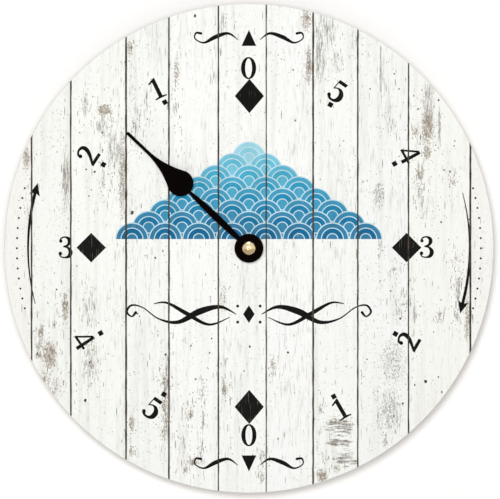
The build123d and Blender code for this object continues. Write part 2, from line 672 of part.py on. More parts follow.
with BuildPart() as clutch_spring:
    spring_front = clutch_back - FACE_GAP
    with BuildSketch(across(spring_front - CLUTCH_SPRING_THICKNESS)) as spring_outline:
        with Locations(clutch_place):
            RegularPolygon(CLUTCH_SPRING_RADIUS, 3)
        fillet(spring_outline.vertices(), CLUTCH_SPRING_CORNER)
        with Locations(clutch_place):
            Circle(ARBOR_RADIUS + PRESS_GAP, mode=Mode.SUBTRACT)
    extrude(amount=CLUTCH_SPRING_THICKNESS)

# Reduction train: each moulding is a wheel, the pinion in front of it and their arbor
with BuildPart() as third_wheel:
    add_wheel(THIRD_TEETH, THIRD_MODULE, SECOND_DIRECTION, third_back, third_front, third_place)
    add_pinion(
        THIRD_PINION_TEETH, CLUTCH_MODULE, THIRD_DIRECTION, clutch_back, clutch_front, third_place
    )
    add_arbor(third_place)

with BuildPart() as second_wheel:
    add_wheel(SECOND_TEETH, SECOND_MODULE, ROTOR_DIRECTION, second_back, second_front, second_place)
    add_pinion(
        SECOND_PINION_TEETH, THIRD_MODULE, SECOND_DIRECTION, third_back, third_front, second_place
    )
    add_arbor(second_place)

# Motor: a round magnet on the first pinion, turning in the stator's hole
with BuildPart() as rotor_pinion:
    add_pinion(ROTOR_TEETH, SECOND_MODULE, ROTOR_DIRECTION, second_back, second_front, rotor_place)
    add_arbor(rotor_place)

with BuildPart() as rotor_magnet:
    magnet_back = stator_middle - MAGNET_HEIGHT / 2
    magnet_front = stator_middle + MAGNET_HEIGHT / 2
    add_round(MAGNET_RADIUS, magnet_back, magnet_front, rotor_place)
    add_round(ARBOR_RADIUS + PRESS_GAP, magnet_back, magnet_front, rotor_place, Mode.SUBTRACT)

with BuildPart() as stator_plate:
    arm_end = coil_x + STATOR_ARM_BEYOND
    with BuildSketch(across(stator_back)):
        with Locations(rotor_place):
            RectangleRounded(2 * STATOR_POLE_HALF, 2 * STATOR_POLE_HALF, STATOR_ARM_WIDTH / 2)
        for z in stator_arm_z:
            with Locations(((rotor_place[0] + arm_end) / 2, z)):
                Rectangle(arm_end - rotor_place[0], STATOR_ARM_WIDTH)
        with Locations(rotor_place):
            Circle(MAGNET_RADIUS + STATOR_AIR_GAP, mode=Mode.SUBTRACT)
            with PolarLocations(MAGNET_RADIUS + STATOR_AIR_GAP, 2):
                Circle(STATOR_NOTCH_RADIUS, mode=Mode.SUBTRACT)
        with Locations(*stator_posts):
            Circle(PEG_RADIUS + PRESS_GAP, mode=Mode.SUBTRACT)
    extrude(amount=STATOR_THICKNESS)

# Coil: a flat core across the stator's arms, its bobbin and the winding
coil_low = stator_arm_z[0] + STATOR_ARM_WIDTH / 2 + BOBBIN_END_GAP
coil_high = stator_arm_z[1] - STATOR_ARM_WIDTH / 2 - BOBBIN_END_GAP
core_low = stator_arm_z[0] - STATOR_ARM_WIDTH / 2
core_high = stator_arm_z[1] + STATOR_ARM_WIDTH / 2

with BuildPart() as coil_core:
    add_block(
        (coil_x - CORE_WIDTH / 2, core_low), (coil_x + CORE_WIDTH / 2, core_high), core_back, stator_back
    )


def coil_section(level):
    """The plane across the coil at a level up the case."""
    return Plane(origin=(coil_x, -coil_height, level), x_dir=(1, 0, 0), z_dir=(0, 0, 1))


tube_width = CORE_WIDTH + 2 * (PRESS_GAP + BOBBIN_WALL)
tube_depth = CORE_THICKNESS + 2 * (PRESS_GAP + BOBBIN_WALL)

with BuildPart() as coil_bobbin:
    with BuildSketch(coil_section(coil_low)):
        Rectangle(tube_width, tube_depth)
    extrude(amount=coil_high - coil_low)
    for flange_low in (coil_low, coil_high - BOBBIN_FLANGE):
        with BuildSketch(coil_section(flange_low)):
            Circle(WINDING_RADIUS)
        extrude(amount=BOBBIN_FLANGE)
    with BuildSketch(coil_section(coil_low)):
        Rectangle(CORE_WIDTH + 2 * PRESS_GAP, CORE_THICKNESS + 2 * PRESS_GAP)
    extrude(amount=coil_high - coil_low, mode=Mode.SUBTRACT)

with BuildPart() as coil_winding:
    winding_low = coil_low + BOBBIN_FLANGE
    with BuildSketch(coil_section(winding_low)):
        Circle(WINDING_RADIUS - PRESS_GAP)
        Rectangle(tube_width, tube_depth, mode=Mode.SUBTRACT)
    extrude(amount=coil_high - BOBBIN_FLANGE - winding_low)

# Circuit: the board with the chip under its cover and the quartz crystal beside it
with BuildPart() as circuit_board:
    with BuildSketch(across(pcb_back)):
        with Locations((pcb_x, pcb_z)):
            Rectangle(PCB_WIDTH, PCB_HEIGHT)
        with Locations(*pcb_posts):
            Circle(PEG_RADIUS + PRESS_GAP, mode=Mode.SUBTRACT)
    extrude(amount=PCB_THICKNESS)

with BuildPart() as chip_cover:
    chip_place = (pcb_x, pcb_z + CHIP_HEIGHT_SHARE * PCB_HEIGHT)
    add_round(CHIP_COVER_RADIUS, pcb_back - CHIP_COVER_HEIGHT, pcb_back, chip_place)
    fillet(chip_cover.faces().sort_by(Axis.Y)[-1].edges(), CHIP_COVER_HEIGHT / 2)

with BuildPart() as quartz_crystal:
    crystal_place = (
        pcb_x + CRYSTAL_PLACE_SHARES[0] * PCB_WIDTH - CRYSTAL_LENGTH / 2,
        pcb_z - CRYSTAL_PLACE_SHARES[1] * PCB_HEIGHT,
    )
    crystal_axis = Plane(
        origin=(crystal_place[0], -(pcb_back - CRYSTAL_RADIUS), crystal_place[1]),
        x_dir=(0, 1, 0),
        z_dir=(1, 0, 0),
    )
    with BuildSketch(crystal_axis):
        Circle(CRYSTAL_RADIUS)
    extrude(amount=CRYSTAL_LENGTH)
    fillet(quartz_crystal.edges().filter_by(GeomType.CIRCLE), CRYSTAL_RADIUS / 3)

# Setting: the pinion in mesh with the tide wheel, and the knob pressed on its shaft's back end
with BuildPart() as setting_pinion:
    add_pinion(SETTING_TEETH, TIDE_MODULE, SETTING_DIRECTION, tide_back, tide_front, setting_place)
    add_round(KNOB_SHAFT_RADIUS, knob_back + KNOB_DIMPLE_DEPTH, tide_back, setting_place)
    add_round(PIVOT_RADIUS, tide_front, pivot_front, setting_place)

with BuildPart() as setting_knob:
    add_round(KNOB_RADIUS, knob_back, knob_front, setting_place)
    chamfer(setting_knob.faces().sort_by(Axis.Y)[-1].edges(), KNOB_EDGE_EASE)
    with BuildSketch(across(knob_back)):
        with Locations(setting_place):
            with PolarLocations(KNOB_RADIUS, KNOB_GRIPS):
                Circle(KNOB_GRIP_RADIUS)
    extrude(amount=KNOB_THICKNESS, mode=Mode.SUBTRACT)
    add_round(
        KNOB_DIMPLE_RADIUS, knob_back, knob_back + KNOB_DIMPLE_DEPTH, setting_place, Mode.SUBTRACT
    )
    add_round(KNOB_SHAFT_RADIUS + PRESS_GAP, knob_back, knob_front, setting_place, Mode.SUBTRACT)

# Power: the cell across the bay, a flat positive strip and a bowed negative one
with BuildPart() as aa_cell:
    cell_end = Plane(origin=(cell_negative_x, -cell_height, cell_z), x_dir=(0, 1, 0), z_dir=(1, 0, 0))
    with BuildSketch(cell_end):
        Circle(CELL_RADIUS)
    extrude(amount=cell_length - CELL_NUB_LENGTH)
    fillet(aa_cell.edges().filter_by(GeomType.CIRCLE), CELL_EDGE_RADIUS)
    with BuildSketch(cell_end.offset(cell_length - CELL_NUB_LENGTH)):
        Circle(CELL_NUB_RADIUS)
    extrude(amount=CELL_NUB_LENGTH)

contact_foot = bay_floor + CONTACT_FOOT_GAP

with BuildPart() as positive_contact:
    add_block(
        (inside_half - CONTACT_THICKNESS, contact_foot),
        (inside_half, chamber_floor + CONTACT_TAB_LENGTH),
        contact_back,
        contact_front,
    )

with BuildPart() as negative_contact:
    strip_x = -inside_half + CONTACT_THICKNESS / 2
    strip_z = chamber_floor + CONTACT_THICKNESS / 2
    with BuildSketch(across(contact_back)):
        with BuildLine() as strip_line:
            Polyline((strip_x, contact_foot), (strip_x, strip_z), (pcb_x, strip_z))
        trace(strip_line.line, CONTACT_THICKNESS)
        with BuildLine() as bow_line:
            ThreePointArc(
                (strip_x, cell_z - CONTACT_BOW_HALF_SPAN),
                (cell_negative_x - CELL_END_GAP - CONTACT_THICKNESS / 2, cell_z),
                (strip_x, cell_z + CONTACT_BOW_HALF_SPAN),
            )
        trace(bow_line.line, CONTACT_THICKNESS)
    extrude(amount=CONTACT_WIDTH)

pieces = {
    "dial_board": dial_board,
    "tide_hand": tide_hand,
    "cap_nut": cap_nut,
    "threaded_bushing": threaded_bushing,
    "rubber_washer": rubber_washer,
    "dial_washer": dial_washer,
    "bushing_nut": bushing_nut,
    "movement_case": movement_case,
    "main_plate": main_plate,
    "hanging_ear": hanging_ear,
    "rear_cover": rear_cover,
    "train_bridge": train_bridge,
    "tide_arbor": tide_arbor,
    "tide_wheel": tide_wheel,
    "clutch_pinion": clutch_pinion,
    "clutch_wheel": clutch_wheel,
    "clutch_spring": clutch_spring,
    "third_wheel": third_wheel,
    "second_wheel": second_wheel,
    "rotor_pinion": rotor_pinion,
    "rotor_magnet": rotor_magnet,
    "stator_plate": stator_plate,
    "coil_core": coil_core,
    "coil_bobbin": coil_bobbin,
    "coil_winding": coil_winding,
    "circuit_board": circuit_board,
    "chip_cover": chip_cover,
    "quartz_crystal": quartz_crystal,
    "setting_pinion": setting_pinion,
    "setting_knob": setting_knob,
    "aa_cell": aa_cell,
    "positive_contact": positive_contact,
    "negative_contact": negative_contact,
}

os.makedirs("parts", exist_ok=True)
for name, piece in pieces.items():
    piece.part.label = name
    export_step(piece.part, f"parts/{name}.step")
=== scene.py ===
"""Looks of the wall tide clock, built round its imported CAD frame.

Metres, +Z up, with the front towards -Y. The dial's print is drawn flat in millimetres, x to the
right and z up from the arbor, and laid on the front of the board in thin layers.
"""

import math
import random

import bpy
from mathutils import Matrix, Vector
from mathutils.geometry import delaunay_2d_cdt


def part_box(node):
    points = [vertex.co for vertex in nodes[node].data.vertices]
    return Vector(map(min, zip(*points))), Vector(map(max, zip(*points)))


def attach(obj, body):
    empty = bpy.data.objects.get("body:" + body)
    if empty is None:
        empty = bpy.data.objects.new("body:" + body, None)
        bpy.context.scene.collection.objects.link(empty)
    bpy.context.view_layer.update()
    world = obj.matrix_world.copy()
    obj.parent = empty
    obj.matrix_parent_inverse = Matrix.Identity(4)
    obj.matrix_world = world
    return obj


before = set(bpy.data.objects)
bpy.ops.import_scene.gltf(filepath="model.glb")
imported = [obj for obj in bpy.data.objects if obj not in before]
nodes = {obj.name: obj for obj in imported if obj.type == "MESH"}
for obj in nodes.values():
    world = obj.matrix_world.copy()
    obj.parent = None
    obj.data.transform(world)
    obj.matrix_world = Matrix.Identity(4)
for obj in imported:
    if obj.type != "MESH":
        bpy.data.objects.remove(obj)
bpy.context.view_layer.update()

MM = 0.001
SEED = 7

# Places from the frame
board_low, board_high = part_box("dial_board")
washer_low, washer_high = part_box("dial_washer")
cell_low, cell_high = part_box("aa_cell")
knob_low, knob_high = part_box("setting_knob")
board_radius = (board_high.x - board_low.x) / 2 / MM
washer_radius = (washer_high.x - washer_low.x) / 2 / MM

# Thickness of each layer of the print, and how far the print and its flecks stay inside the rim
PRINT_THICKNESS = 0.04
FLECK_THICKNESS = 0.01
INK_THICKNESS = 0.02
ARROW_THICKNESS = 0.15
PRINT_MARGIN = 0.2
FLECK_MARGIN = 1.5
print_front = board_low.y - PRINT_THICKNESS * MM
fleck_front = print_front - FLECK_THICKNESS * MM
ink_front = print_front - INK_THICKNESS * MM
joint_front = ink_front - INK_THICKNESS * MM

# Planks: x and half width of each printed joint, and the tone and strength of grain of each plank,
# from left to right
JOINTS = [
    (-135.3, 0.52),
    (-110.9, 0.5),
    (-76.5, 0.58),
    (-49.8, 0.5),
    (-19, 0.47),
    (10.8, 0.39),
    (40, 0.55),
    (67.8, 0.49),
    (99.4, 0.46),
    (137.9, 0.64),
]
JOINT_WANDER = 0.08
JOINT_STEP = 5.0
RIM_STEPS = 120
HOLE_STEPS = 48
PLANK_TONES = [
    (246, 245, 240),
    (247, 248, 243),
    (250, 251, 246),
    (249, 250, 246),
    (252, 252, 249),
    (250, 251, 247),
    (251, 251, 249),
    (249, 250, 246),
    (247, 248, 245),
    (248, 248, 243),
    (246, 245, 241),
]
PLANK_GRAIN = [0.8, 0.4, 0.8, 1.0, 0.8, 0.8, 0.8, 0.8, 0.7, 0.4, 0.8]
# How far apart in the noise the planks' grain is taken from
PLANK_SHIFT = 60.0

# Wear of the print: x, z, half width, half height and strength of each spot
BROWN_SPOTS = [
    (-90, 86, 5, 4, 0.9),
    (-74, 124, 2, 6, 0.7),
    (-45, 111, 2, 10, 0.6),
    (-138.5, 56, 2.6, 9, 0.75),
    (-79.2, 45, 2.4, 34, 0.62),
    (35.5, 143, 3.5, 9, 0.75),
    (37.2, 114, 2.2, 14, 0.8),
    (111.2, 76, 4.4, 13, 0.82),
    (111, 60, 3, 6, 0.75),
    (105.4, 47, 1.5, 2.8, 0.8),
    (107.9, 46, 1, 2.6, 0.8),
    (104.1, 72.3, 2, 4, 0.65),
    (127.3, 40.9, 1.5, 1.6, 0.95),
    (129, -5.5, 1.8, 2.5, 0.5),
    (131, -21.5, 1.8, 3.5, 0.55),
    (136, -44, 1.8, 16, 0.7),
    (129.3, -43.2, 1.8, 2.6, 0.55),
    (118.8, -40.6, 1.4, 2.2, 0.55),
    (95.5, -34.7, 1.2, 1.6, 0.65),
    (90.8, -12.9, 1.4, 1.2, 0.75),
    (83, -1.5, 1.4, 1.2, 0.65),
    (-114.2, -38, 2.4, 12, 0.75),
    (-129.2, -51.3, 1.8, 4, 0.8),
    (-130.4, -60.6, 1.6, 3, 0.75),
    (-131, -66.5, 2.6, 2.4, 0.8),
    (-124, -67, 4.6, 11, 0.9),
    (-127, -82, 5, 7, 0.6),
    (-121, -88, 6, 9, 0.46),
    (-98, -72.5, 2, 4, 0.6),
    (-52.3, -83, 1.8, 4.5, 0.75),
    (-52.5, -98.5, 2, 5, 0.85),
    (-53, -115, 2, 6.5, 0.6),
    (-51.6, -98, 1.6, 26, 0.6),
    (-73, -109, 2, 6, 0.7),
    (-73, -127, 2, 4, 0.6),
    (-36.1, -103.8, 1.6, 3.2, 0.85),
    (-34.8, -133.2, 3, 2.8, 0.85),
    (-39.5, -137.7, 1.4, 2.2, 0.85),
    (-16, -31, 3, 11, 0.45),
    (-15.2, -88.5, 1.8, 4.5, 0.8),
    (45.5, -141.5, 3.8, 4.5, 0.9),
    (55, -137, 3, 3, 0.6),
    (44.3, -100, 1.2, 4, 0.75),
    (15, -72, 2, 5, 0.6),
    (85, -121, 2, 4, 0.55),
    (8.6, -128, 1.4, 3, 0.55),
    (8.2, -143, 1.6, 5, 0.55),
]
STREAK_SPOTS = [
    (-114, 44, 2.6, 24, 0.7),
    (-78, 47, 3, 30, 0.5),
    (-84.5, 60, 5, 16, 0.48),
    (-86.3, 66, 1.4, 9, 0.55),
    (-90.8, 43, 1.2, 8, 0.75),
    (-91, 77, 4, 9, 0.5),
    (-93.2, 75, 1.2, 5, 0.7),
    (-137.5, 18, 1.5, 12, 0.45),
    (-16, 140, 2, 9, 0.5),
    (-46, 86, 2, 5, 0.5),
    (43.2, 122, 2, 20, 0.7),
    (46.4, 116, 1.4, 12, 0.6),
    (48, 136, 8, 15, 0.5),
    (88, 83, 4, 13, 0.45),
    (82, 110, 1, 20, 0.6),
    (105.8, 35, 0.8, 4, 0.7),
    (107.9, 28, 0.8, 6, 0.7),
    (112.5, 26, 4, 11, 0.35),
    (112.5, 97, 5, 9, 0.55),
    (112, 86, 4.5, 18, 0.55),
    (118.6, 75, 1.2, 14, 0.75),
    (-51, -92, 2, 28, 0.5),
    (103.2, -40, 1.6, 11, 0.6),
    (130, -28, 2.2, 9, 0.6),
    (-99, -38, 6.5, 18, 0.45),
    (-99, -70, 7, 20, 0.47),
    (88, -103, 8, 19, 0.38),
    (-15.8, -80, 1.5, 6, 0.55),
    (-28.5, -89, 0.7, 4, 0.75),
    (-28.5, -107, 0.8, 8, 0.8),
    (-29.4, -124, 0.7, 4, 0.75),
    (-40.4, -121, 1.2, 11, 0.5),
    (55, 116, 4, 7, 0.45),
    (66, 130, 3, 9, 0.45),
    (-102, 90, 2, 10, 0.6),
    (-63.6, 93, 0.9, 8, 0.8),
    (-70.9, 87.5, 0.7, 5, 0.75),
    (-70.6, 75, 0.8, 5, 0.8),
]
GRIT_SPOTS = [
    (81, 33, 4, 9, 0.6),
    (93, -40, 4, 10, 0.4),
    (89, -71, 9, 16, 0.5),
    (88, -100, 9, 17, 0.43),
]
CRACK_SPOTS = [
    (57, -111, 11, 7, 0.64),
    (56, -121, 8.5, 3, 0.72),
    (60, -131, 8, 6, 0.65),
]
# Flecks over the whole print
FLECKS = 4200
FLECK_WORN_SHARE = 0.7
FLECK_DASH_SHARE = 0.45
FLECK_LONGEST = 3.4
FLECK_HALF_WIDTHS = (0.14, 0.42)
FLECK_DASH_HALF_WIDTHS = (0.12, 0.26)
FLECK_CORNERS = 6
FLECK_PAINTS = (0, 0, 1, 1, 1, 2)
FLECK_TONES = [(206, 204, 197), (166, 161, 151), (112, 106, 97)]
# Knots: corners, range of their reach and width to height of each, then x, z and radius
KNOT_CORNERS = 9
KNOT_REACH = (0.6, 1.15)
KNOT_WIDTH = 0.8
KNOTS = [
    (-72.7, 22.2, 1.5),
    (-101.4, 49, 0.8),
    (-96.1, 47.6, 1.0),
    (-99.6, 32.5, 0.6),
    (-98.1, 36.4, 0.5),
    (-91.6, 72.2, 0.6),
    (-33.5, 144.8, 1.2),
    (27.6, 111.2, 0.7),
    (28.8, 79.5, 0.7),
    (75.5, 99.3, 0.7),
    (90.5, 108.7, 0.7),
    (93.6, 99.3, 0.7),
    (118.2, 92.3, 0.8),
    (105.4, 86.7, 0.8),
    (128.2, 66.8, 0.6),
    (127.9, 63.7, 0.6),
    (121.5, 48.6, 0.7),
    (125.3, 47.7, 0.8),
    (119.7, 16.3, 0.7),
    (88.3, -26.6, 0.7),
    (94.2, -43.9, 0.8),
    (106.6, -36.3, 0.5),
    (115, -52.2, 0.5),
    (110, -82.9, 1.2),
    (118, -80.2, 0.6),
    (120.2, -89.6, 0.7),
    (103.3, -85.1, 0.7),
    (95.9, -96.6, 0.9),
    (90.2, -104.6, 0.8),
    (73.6, -69.1, 0.6),
    (24.4, -65, 0.9),
    (0.6, -61.2, 0.9),
    (18.1, -118.7, 0.6),
    (-3, -76.4, 0.6),
    (-23.2, -56.3, 0.7),
    (-24.5, -65.1, 0.7),
    (-36, -60.7, 0.7),
    (-33.2, -81.6, 0.7),
    (-53.6, -1.8, 0.7),
    (-58.3, -5.9, 0.9),
    (-51.9, -66.2, 0.9),
    (-69.5, -40.8, 0.7),
    (-68, -42.4, 0.6),
    (-99.2, -71.2, 0.9),
    (-101.9, -94.9, 1.2),
    (-119.8, -25.7, 0.7),
    (-131.9, -65.6, 0.8),
]

# Dial marks: digit, clock angle, distance from the arbor and turn of the digit itself
NUMERAL_HEIGHT = 13.7
NUMERALS = [
    (0, -0.1, 112.2, 0),
    (1, -29.9, 115.2, -26),
    (2, -59.9, 116, -57),
    (3, -89.7, 114.2, 0),
    (4, -119, 117.8, 56),
    (5, -148.9, 116.2, 32),
    (0, 180, 116.4, 0),
    (1, 150.2, 114.8, -30),
    (2, 120.2, 114.9, -60),
    (3, 89.6, 110.7, 0),
    (4, 59.6, 115.7, 61),
    (5, 29.5, 112.3, 32),
]
# Square dots: clock angle and distance from the arbor
DOT_HALF = 1.5
DOTS = [
    (-149.8, 105.3),
    (-119.8, 106.4),
    (-60.1, 104.5),
    (-29.9, 104.9),
    (29.6, 102.8),
    (59.9, 104.9),
    (120.3, 105.7),
    (150.2, 106.4),
]
# Diamonds: x, z, half width and half height
FRESH_DIAMONDS = [(0.3, 94.8, 9.1, 10.7)]
WORN_DIAMONDS = [
    (0.2, -98.8, 9.1, 10.7),
    (-98.2, 0.4, 9.2, 9.2),
    (98.2, 0.4, 9.2, 9.2),
]

# Signs: heights of the flourishes, half sizes of their middles, arcs at the sides
FLOURISH_Z = -41
HIGH_SIGN_Z = 131
LOW_SIGN_Z = -134
SIGN_HALF_WIDTH = 4.6
SIGN_HALF_HEIGHT = 5.0
GEM_HALF_WIDTH = 3.6
GEM_HALF_HEIGHT = 5.5
ARC_REACH = 137.5
ARC_SWEEP = 29
ARC_STEPS = 8
ARC_TAIL_HALF = 0.25
ARC_FRONT_HALF = 1.0
ARC_HEAD = [(-1.5, -3.4), (6.5, 0), (-1.5, 3.4), (0.2, 0)]
BEAD_REACH = 144.5
BEAD_RADIUS = 0.65
BEAD_SPACING = 2.5
BEADS = 13
BEAD_SIDES = 14
# Arrow on the setting knob
KNOB_ARROW_REACH = 3.9
KNOB_ARROW_START = -110
KNOB_ARROW_SWEEP = 180
KNOB_ARROW_STEPS = 8
KNOB_ARROW_HALF = 0.25
KNOB_ARROW_HEAD = [(0, -0.9), (1.5, 0), (0, 0.9)]

# Sea: rows of waves in the old overlapping fan pattern, from the back row to the front one, with
# the rings of one fan as shares of its radius
SEA_BASE = 5.7
SEA_FAN_RADIUS = 10.4
SEA_ROW_RISE = 7.2
SEA_TOP_FANS = 1
SEA_RINGS = [1.0, 0.93, 0.69, 0.63, 0.36, 0.3]
SEA_LIGHT_SHARE = 0.14
SEA_TONES = [
    (146, 212, 230),
    (104, 192, 218),
    (74, 176, 208),
    (54, 160, 198),
    (42, 146, 188),
    (35, 133, 177),
    (30, 120, 166),
    (27, 108, 154),
]

# Finishes: sheen and roughness of the matt print, then depths and widths in millimetres, with lathe
# rings and wire turns in radians to the metre, and the spread of roughness in a mottled finish
PRINT_SPECULAR = 0.03
PRINT_ROUGHNESS = 0.6
BARE_BACK_DEPTH = 0.3
LATHE_RINGS = 24000
LATHE_RING_DEPTH = 0.004
WIRE_TURNS = 40000
WIRE_TURN_DEPTH = 0.03
CASE_GRAIN_DEPTH = 0.03
CELL_BAND = 13
CELL_PLUS_END = 2.2
CELL_MINUS_END = 0.8
STAMPED_EDGE = 0.08
GLOSS_SPREAD = 0.06

# Camera, and light: direction, strength and spread in degrees of each sun
VIEW_DISTANCE = 5.0
PHOTO_WIDTH = 500
PHOTO_DISC_RADIUS = 244.7
PHOTO_LEFT = 1.1
PHOTO_UP = 1.25
SENSOR_WIDTH = 36.0
AMBIENT = 0.05
SUNS = {
    "front_sun": ((0.01, 1, -0.03), 1.57, 22),
    "key_sun": ((0.09, 1, -0.17), 0.78, 12),
    "top_sun": ((0.05, 0.1, -1), 1.0, 20),
    "back_sun": ((-0.35, -1, -0.45), 0.85, 20),
}
STAGE_HALF = 3.0
FLOOR_DROP = 0.4
WALL_GAP = 0.0005
WALL_GLOW = 0.05


def colour(red, green, blue):
    """A linear colour from display values of 0 to 255."""
    linear = []
    for value in (red, green, blue):
        share = value / 255
        linear.append(share / 12.92 if share <= 0.04045 else ((share + 0.055) / 1.055) ** 2.4)
    return (*linear, 1.0)


def even(value):
    """The same value along each axis."""
    return (value, value, value)


class Shader:
    """A node material that ends in one Principled surface, in the piece's own coordinates."""

    def __init__(self, name, roughness=0.5, metallic=0.0, specular=0.5):
        self.material = bpy.data.materials.new(name)
        self.material.use_nodes = True
        self.tree = self.material.node_tree
        self.surface = self.tree.nodes["Principled BSDF"]
        self.put(self.surface.inputs["Roughness"], roughness)
        self.put(self.surface.inputs["Metallic"], metallic)
        self.put(self.surface.inputs["Specular IOR Level"], specular)
        self.place = self.tree.nodes.new("ShaderNodeTexCoord").outputs["Object"]
        parts = self.tree.nodes.new("ShaderNodeSeparateXYZ")
        self.put(parts.inputs[0], self.place)
        self.x, self.y, self.z = parts.outputs

    def put(self, socket, value):
        """Sets a socket to a constant or links another node's output to it."""
        if isinstance(value, bpy.types.NodeSocket):
            self.tree.links.new(value, socket)
        else:
            socket.default_value = value

    def math(self, operation, first, second=0.0):
        node = self.tree.nodes.new("ShaderNodeMath")
        node.operation = operation
        self.put(node.inputs[0], first)
        self.put(node.inputs[1], second)
        return node.outputs[0]

    def fade(self, value, start, end, low=0.0, high=1.0):
        """A smooth step from low at start to high at end."""
        node = self.tree.nodes.new("ShaderNodeMapRange")
        node.interpolation_type = "SMOOTHSTEP"
        for socket, setting in zip(node.inputs, (value, start, end, low, high)):
            self.put(socket, setting)
        return node.outputs[0]

    def mix(self, share, first, second):
        node = self.tree.nodes.new("ShaderNodeMix")
        node.data_type = "RGBA"
        self.put(node.inputs["Factor"], share)
        self.put(node.inputs[6], first)
        self.put(node.inputs[7], second)
        return node.outputs[2]

    def joined(self, x, y, z):
        node = self.tree.nodes.new("ShaderNodeCombineXYZ")
        for socket, value in zip(node.inputs, (x, y, z)):
            self.put(socket, value)
        return node.outputs[0]

    def stretched(self, scale, shift=(0, 0, 0)):
        """The piece's coordinates, scaled and shifted along each axis."""
        node = self.tree.nodes.new("ShaderNodeVectorMath")
        node.operation = "MULTIPLY_ADD"
        for socket, value in zip(node.inputs, (self.place, scale, shift)):
            self.put(socket, value)
        return node.outputs[0]

    def noise(self, place, detail=2.0, roughness=0.5):
        node = self.tree.nodes.new("ShaderNodeTexNoise")
        self.put(node.inputs["Vector"], place)
        self.put(node.inputs["Scale"], 1.0)
        self.put(node.inputs["Detail"], detail)
        self.put(node.inputs["Roughness"], roughness)
        return node.outputs["Fac"]

    def steps(self, value, stops):
        """A colour that changes at each stop: a share from 0 to 1 and the colour after it."""
        node = self.tree.nodes.new("ShaderNodeValToRGB")
        node.color_ramp.interpolation = "CONSTANT"
        elements = node.color_ramp.elements
        elements.remove(elements[1])
        elements[0].position = stops[0][0]
        elements[0].color = stops[0][1]
        for position, tone in stops[1:]:
            elements.new(position).color = tone
        self.put(node.inputs[0], value)
        return node.outputs[0]

    def specks(self, place, size):
        """Round dots in some of the cells of a grid of scattered points, 0 or 1."""
        node = self.tree.nodes.new("ShaderNodeTexVoronoi")
        self.put(node.inputs["Vector"], place)
        self.put(node.inputs["Scale"], 1.0)
        chance = self.tree.nodes.new("ShaderNodeSeparateColor")
        self.put(chance.inputs[0], node.outputs["Color"])
        reach = self.math("MULTIPLY", self.math("SUBTRACT", chance.outputs[0], 1 - size), size)
        inside = self.math("SUBTRACT", reach, node.outputs["Distance"])
        return self.fade(inside, -0.02, 0.02)

    def bump(self, height, distance):
        node = self.tree.nodes.new("ShaderNodeBump")
        self.put(node.inputs["Height"], height)
        self.put(node.inputs["Distance"], distance)
        self.put(self.surface.inputs["Normal"], node.outputs[0])

    def paint(self, tone):
        self.put(self.surface.inputs["Base Color"], tone)
        return self.material


def spots(shader, places):
    """The strongest of a set of soft ovals, at each place on the dial."""
    strongest = 0.0
    for x, z, half_width, half_height, strength in places:
        scale = (1 / (half_width * MM), 0, 1 / (half_height * MM))
        local = shader.stretched(scale, (-x / half_width, 0, -z / half_height))
        reach = shader.tree.nodes.new("ShaderNodeVectorMath")
        reach.operation = "LENGTH"
        shader.put(reach.inputs[0], local)
        spot = shader.fade(reach.outputs["Value"], 1.4, 0.3, 0.0, strength)
        strongest = shader.math("MAXIMUM", strongest, spot)
    return strongest


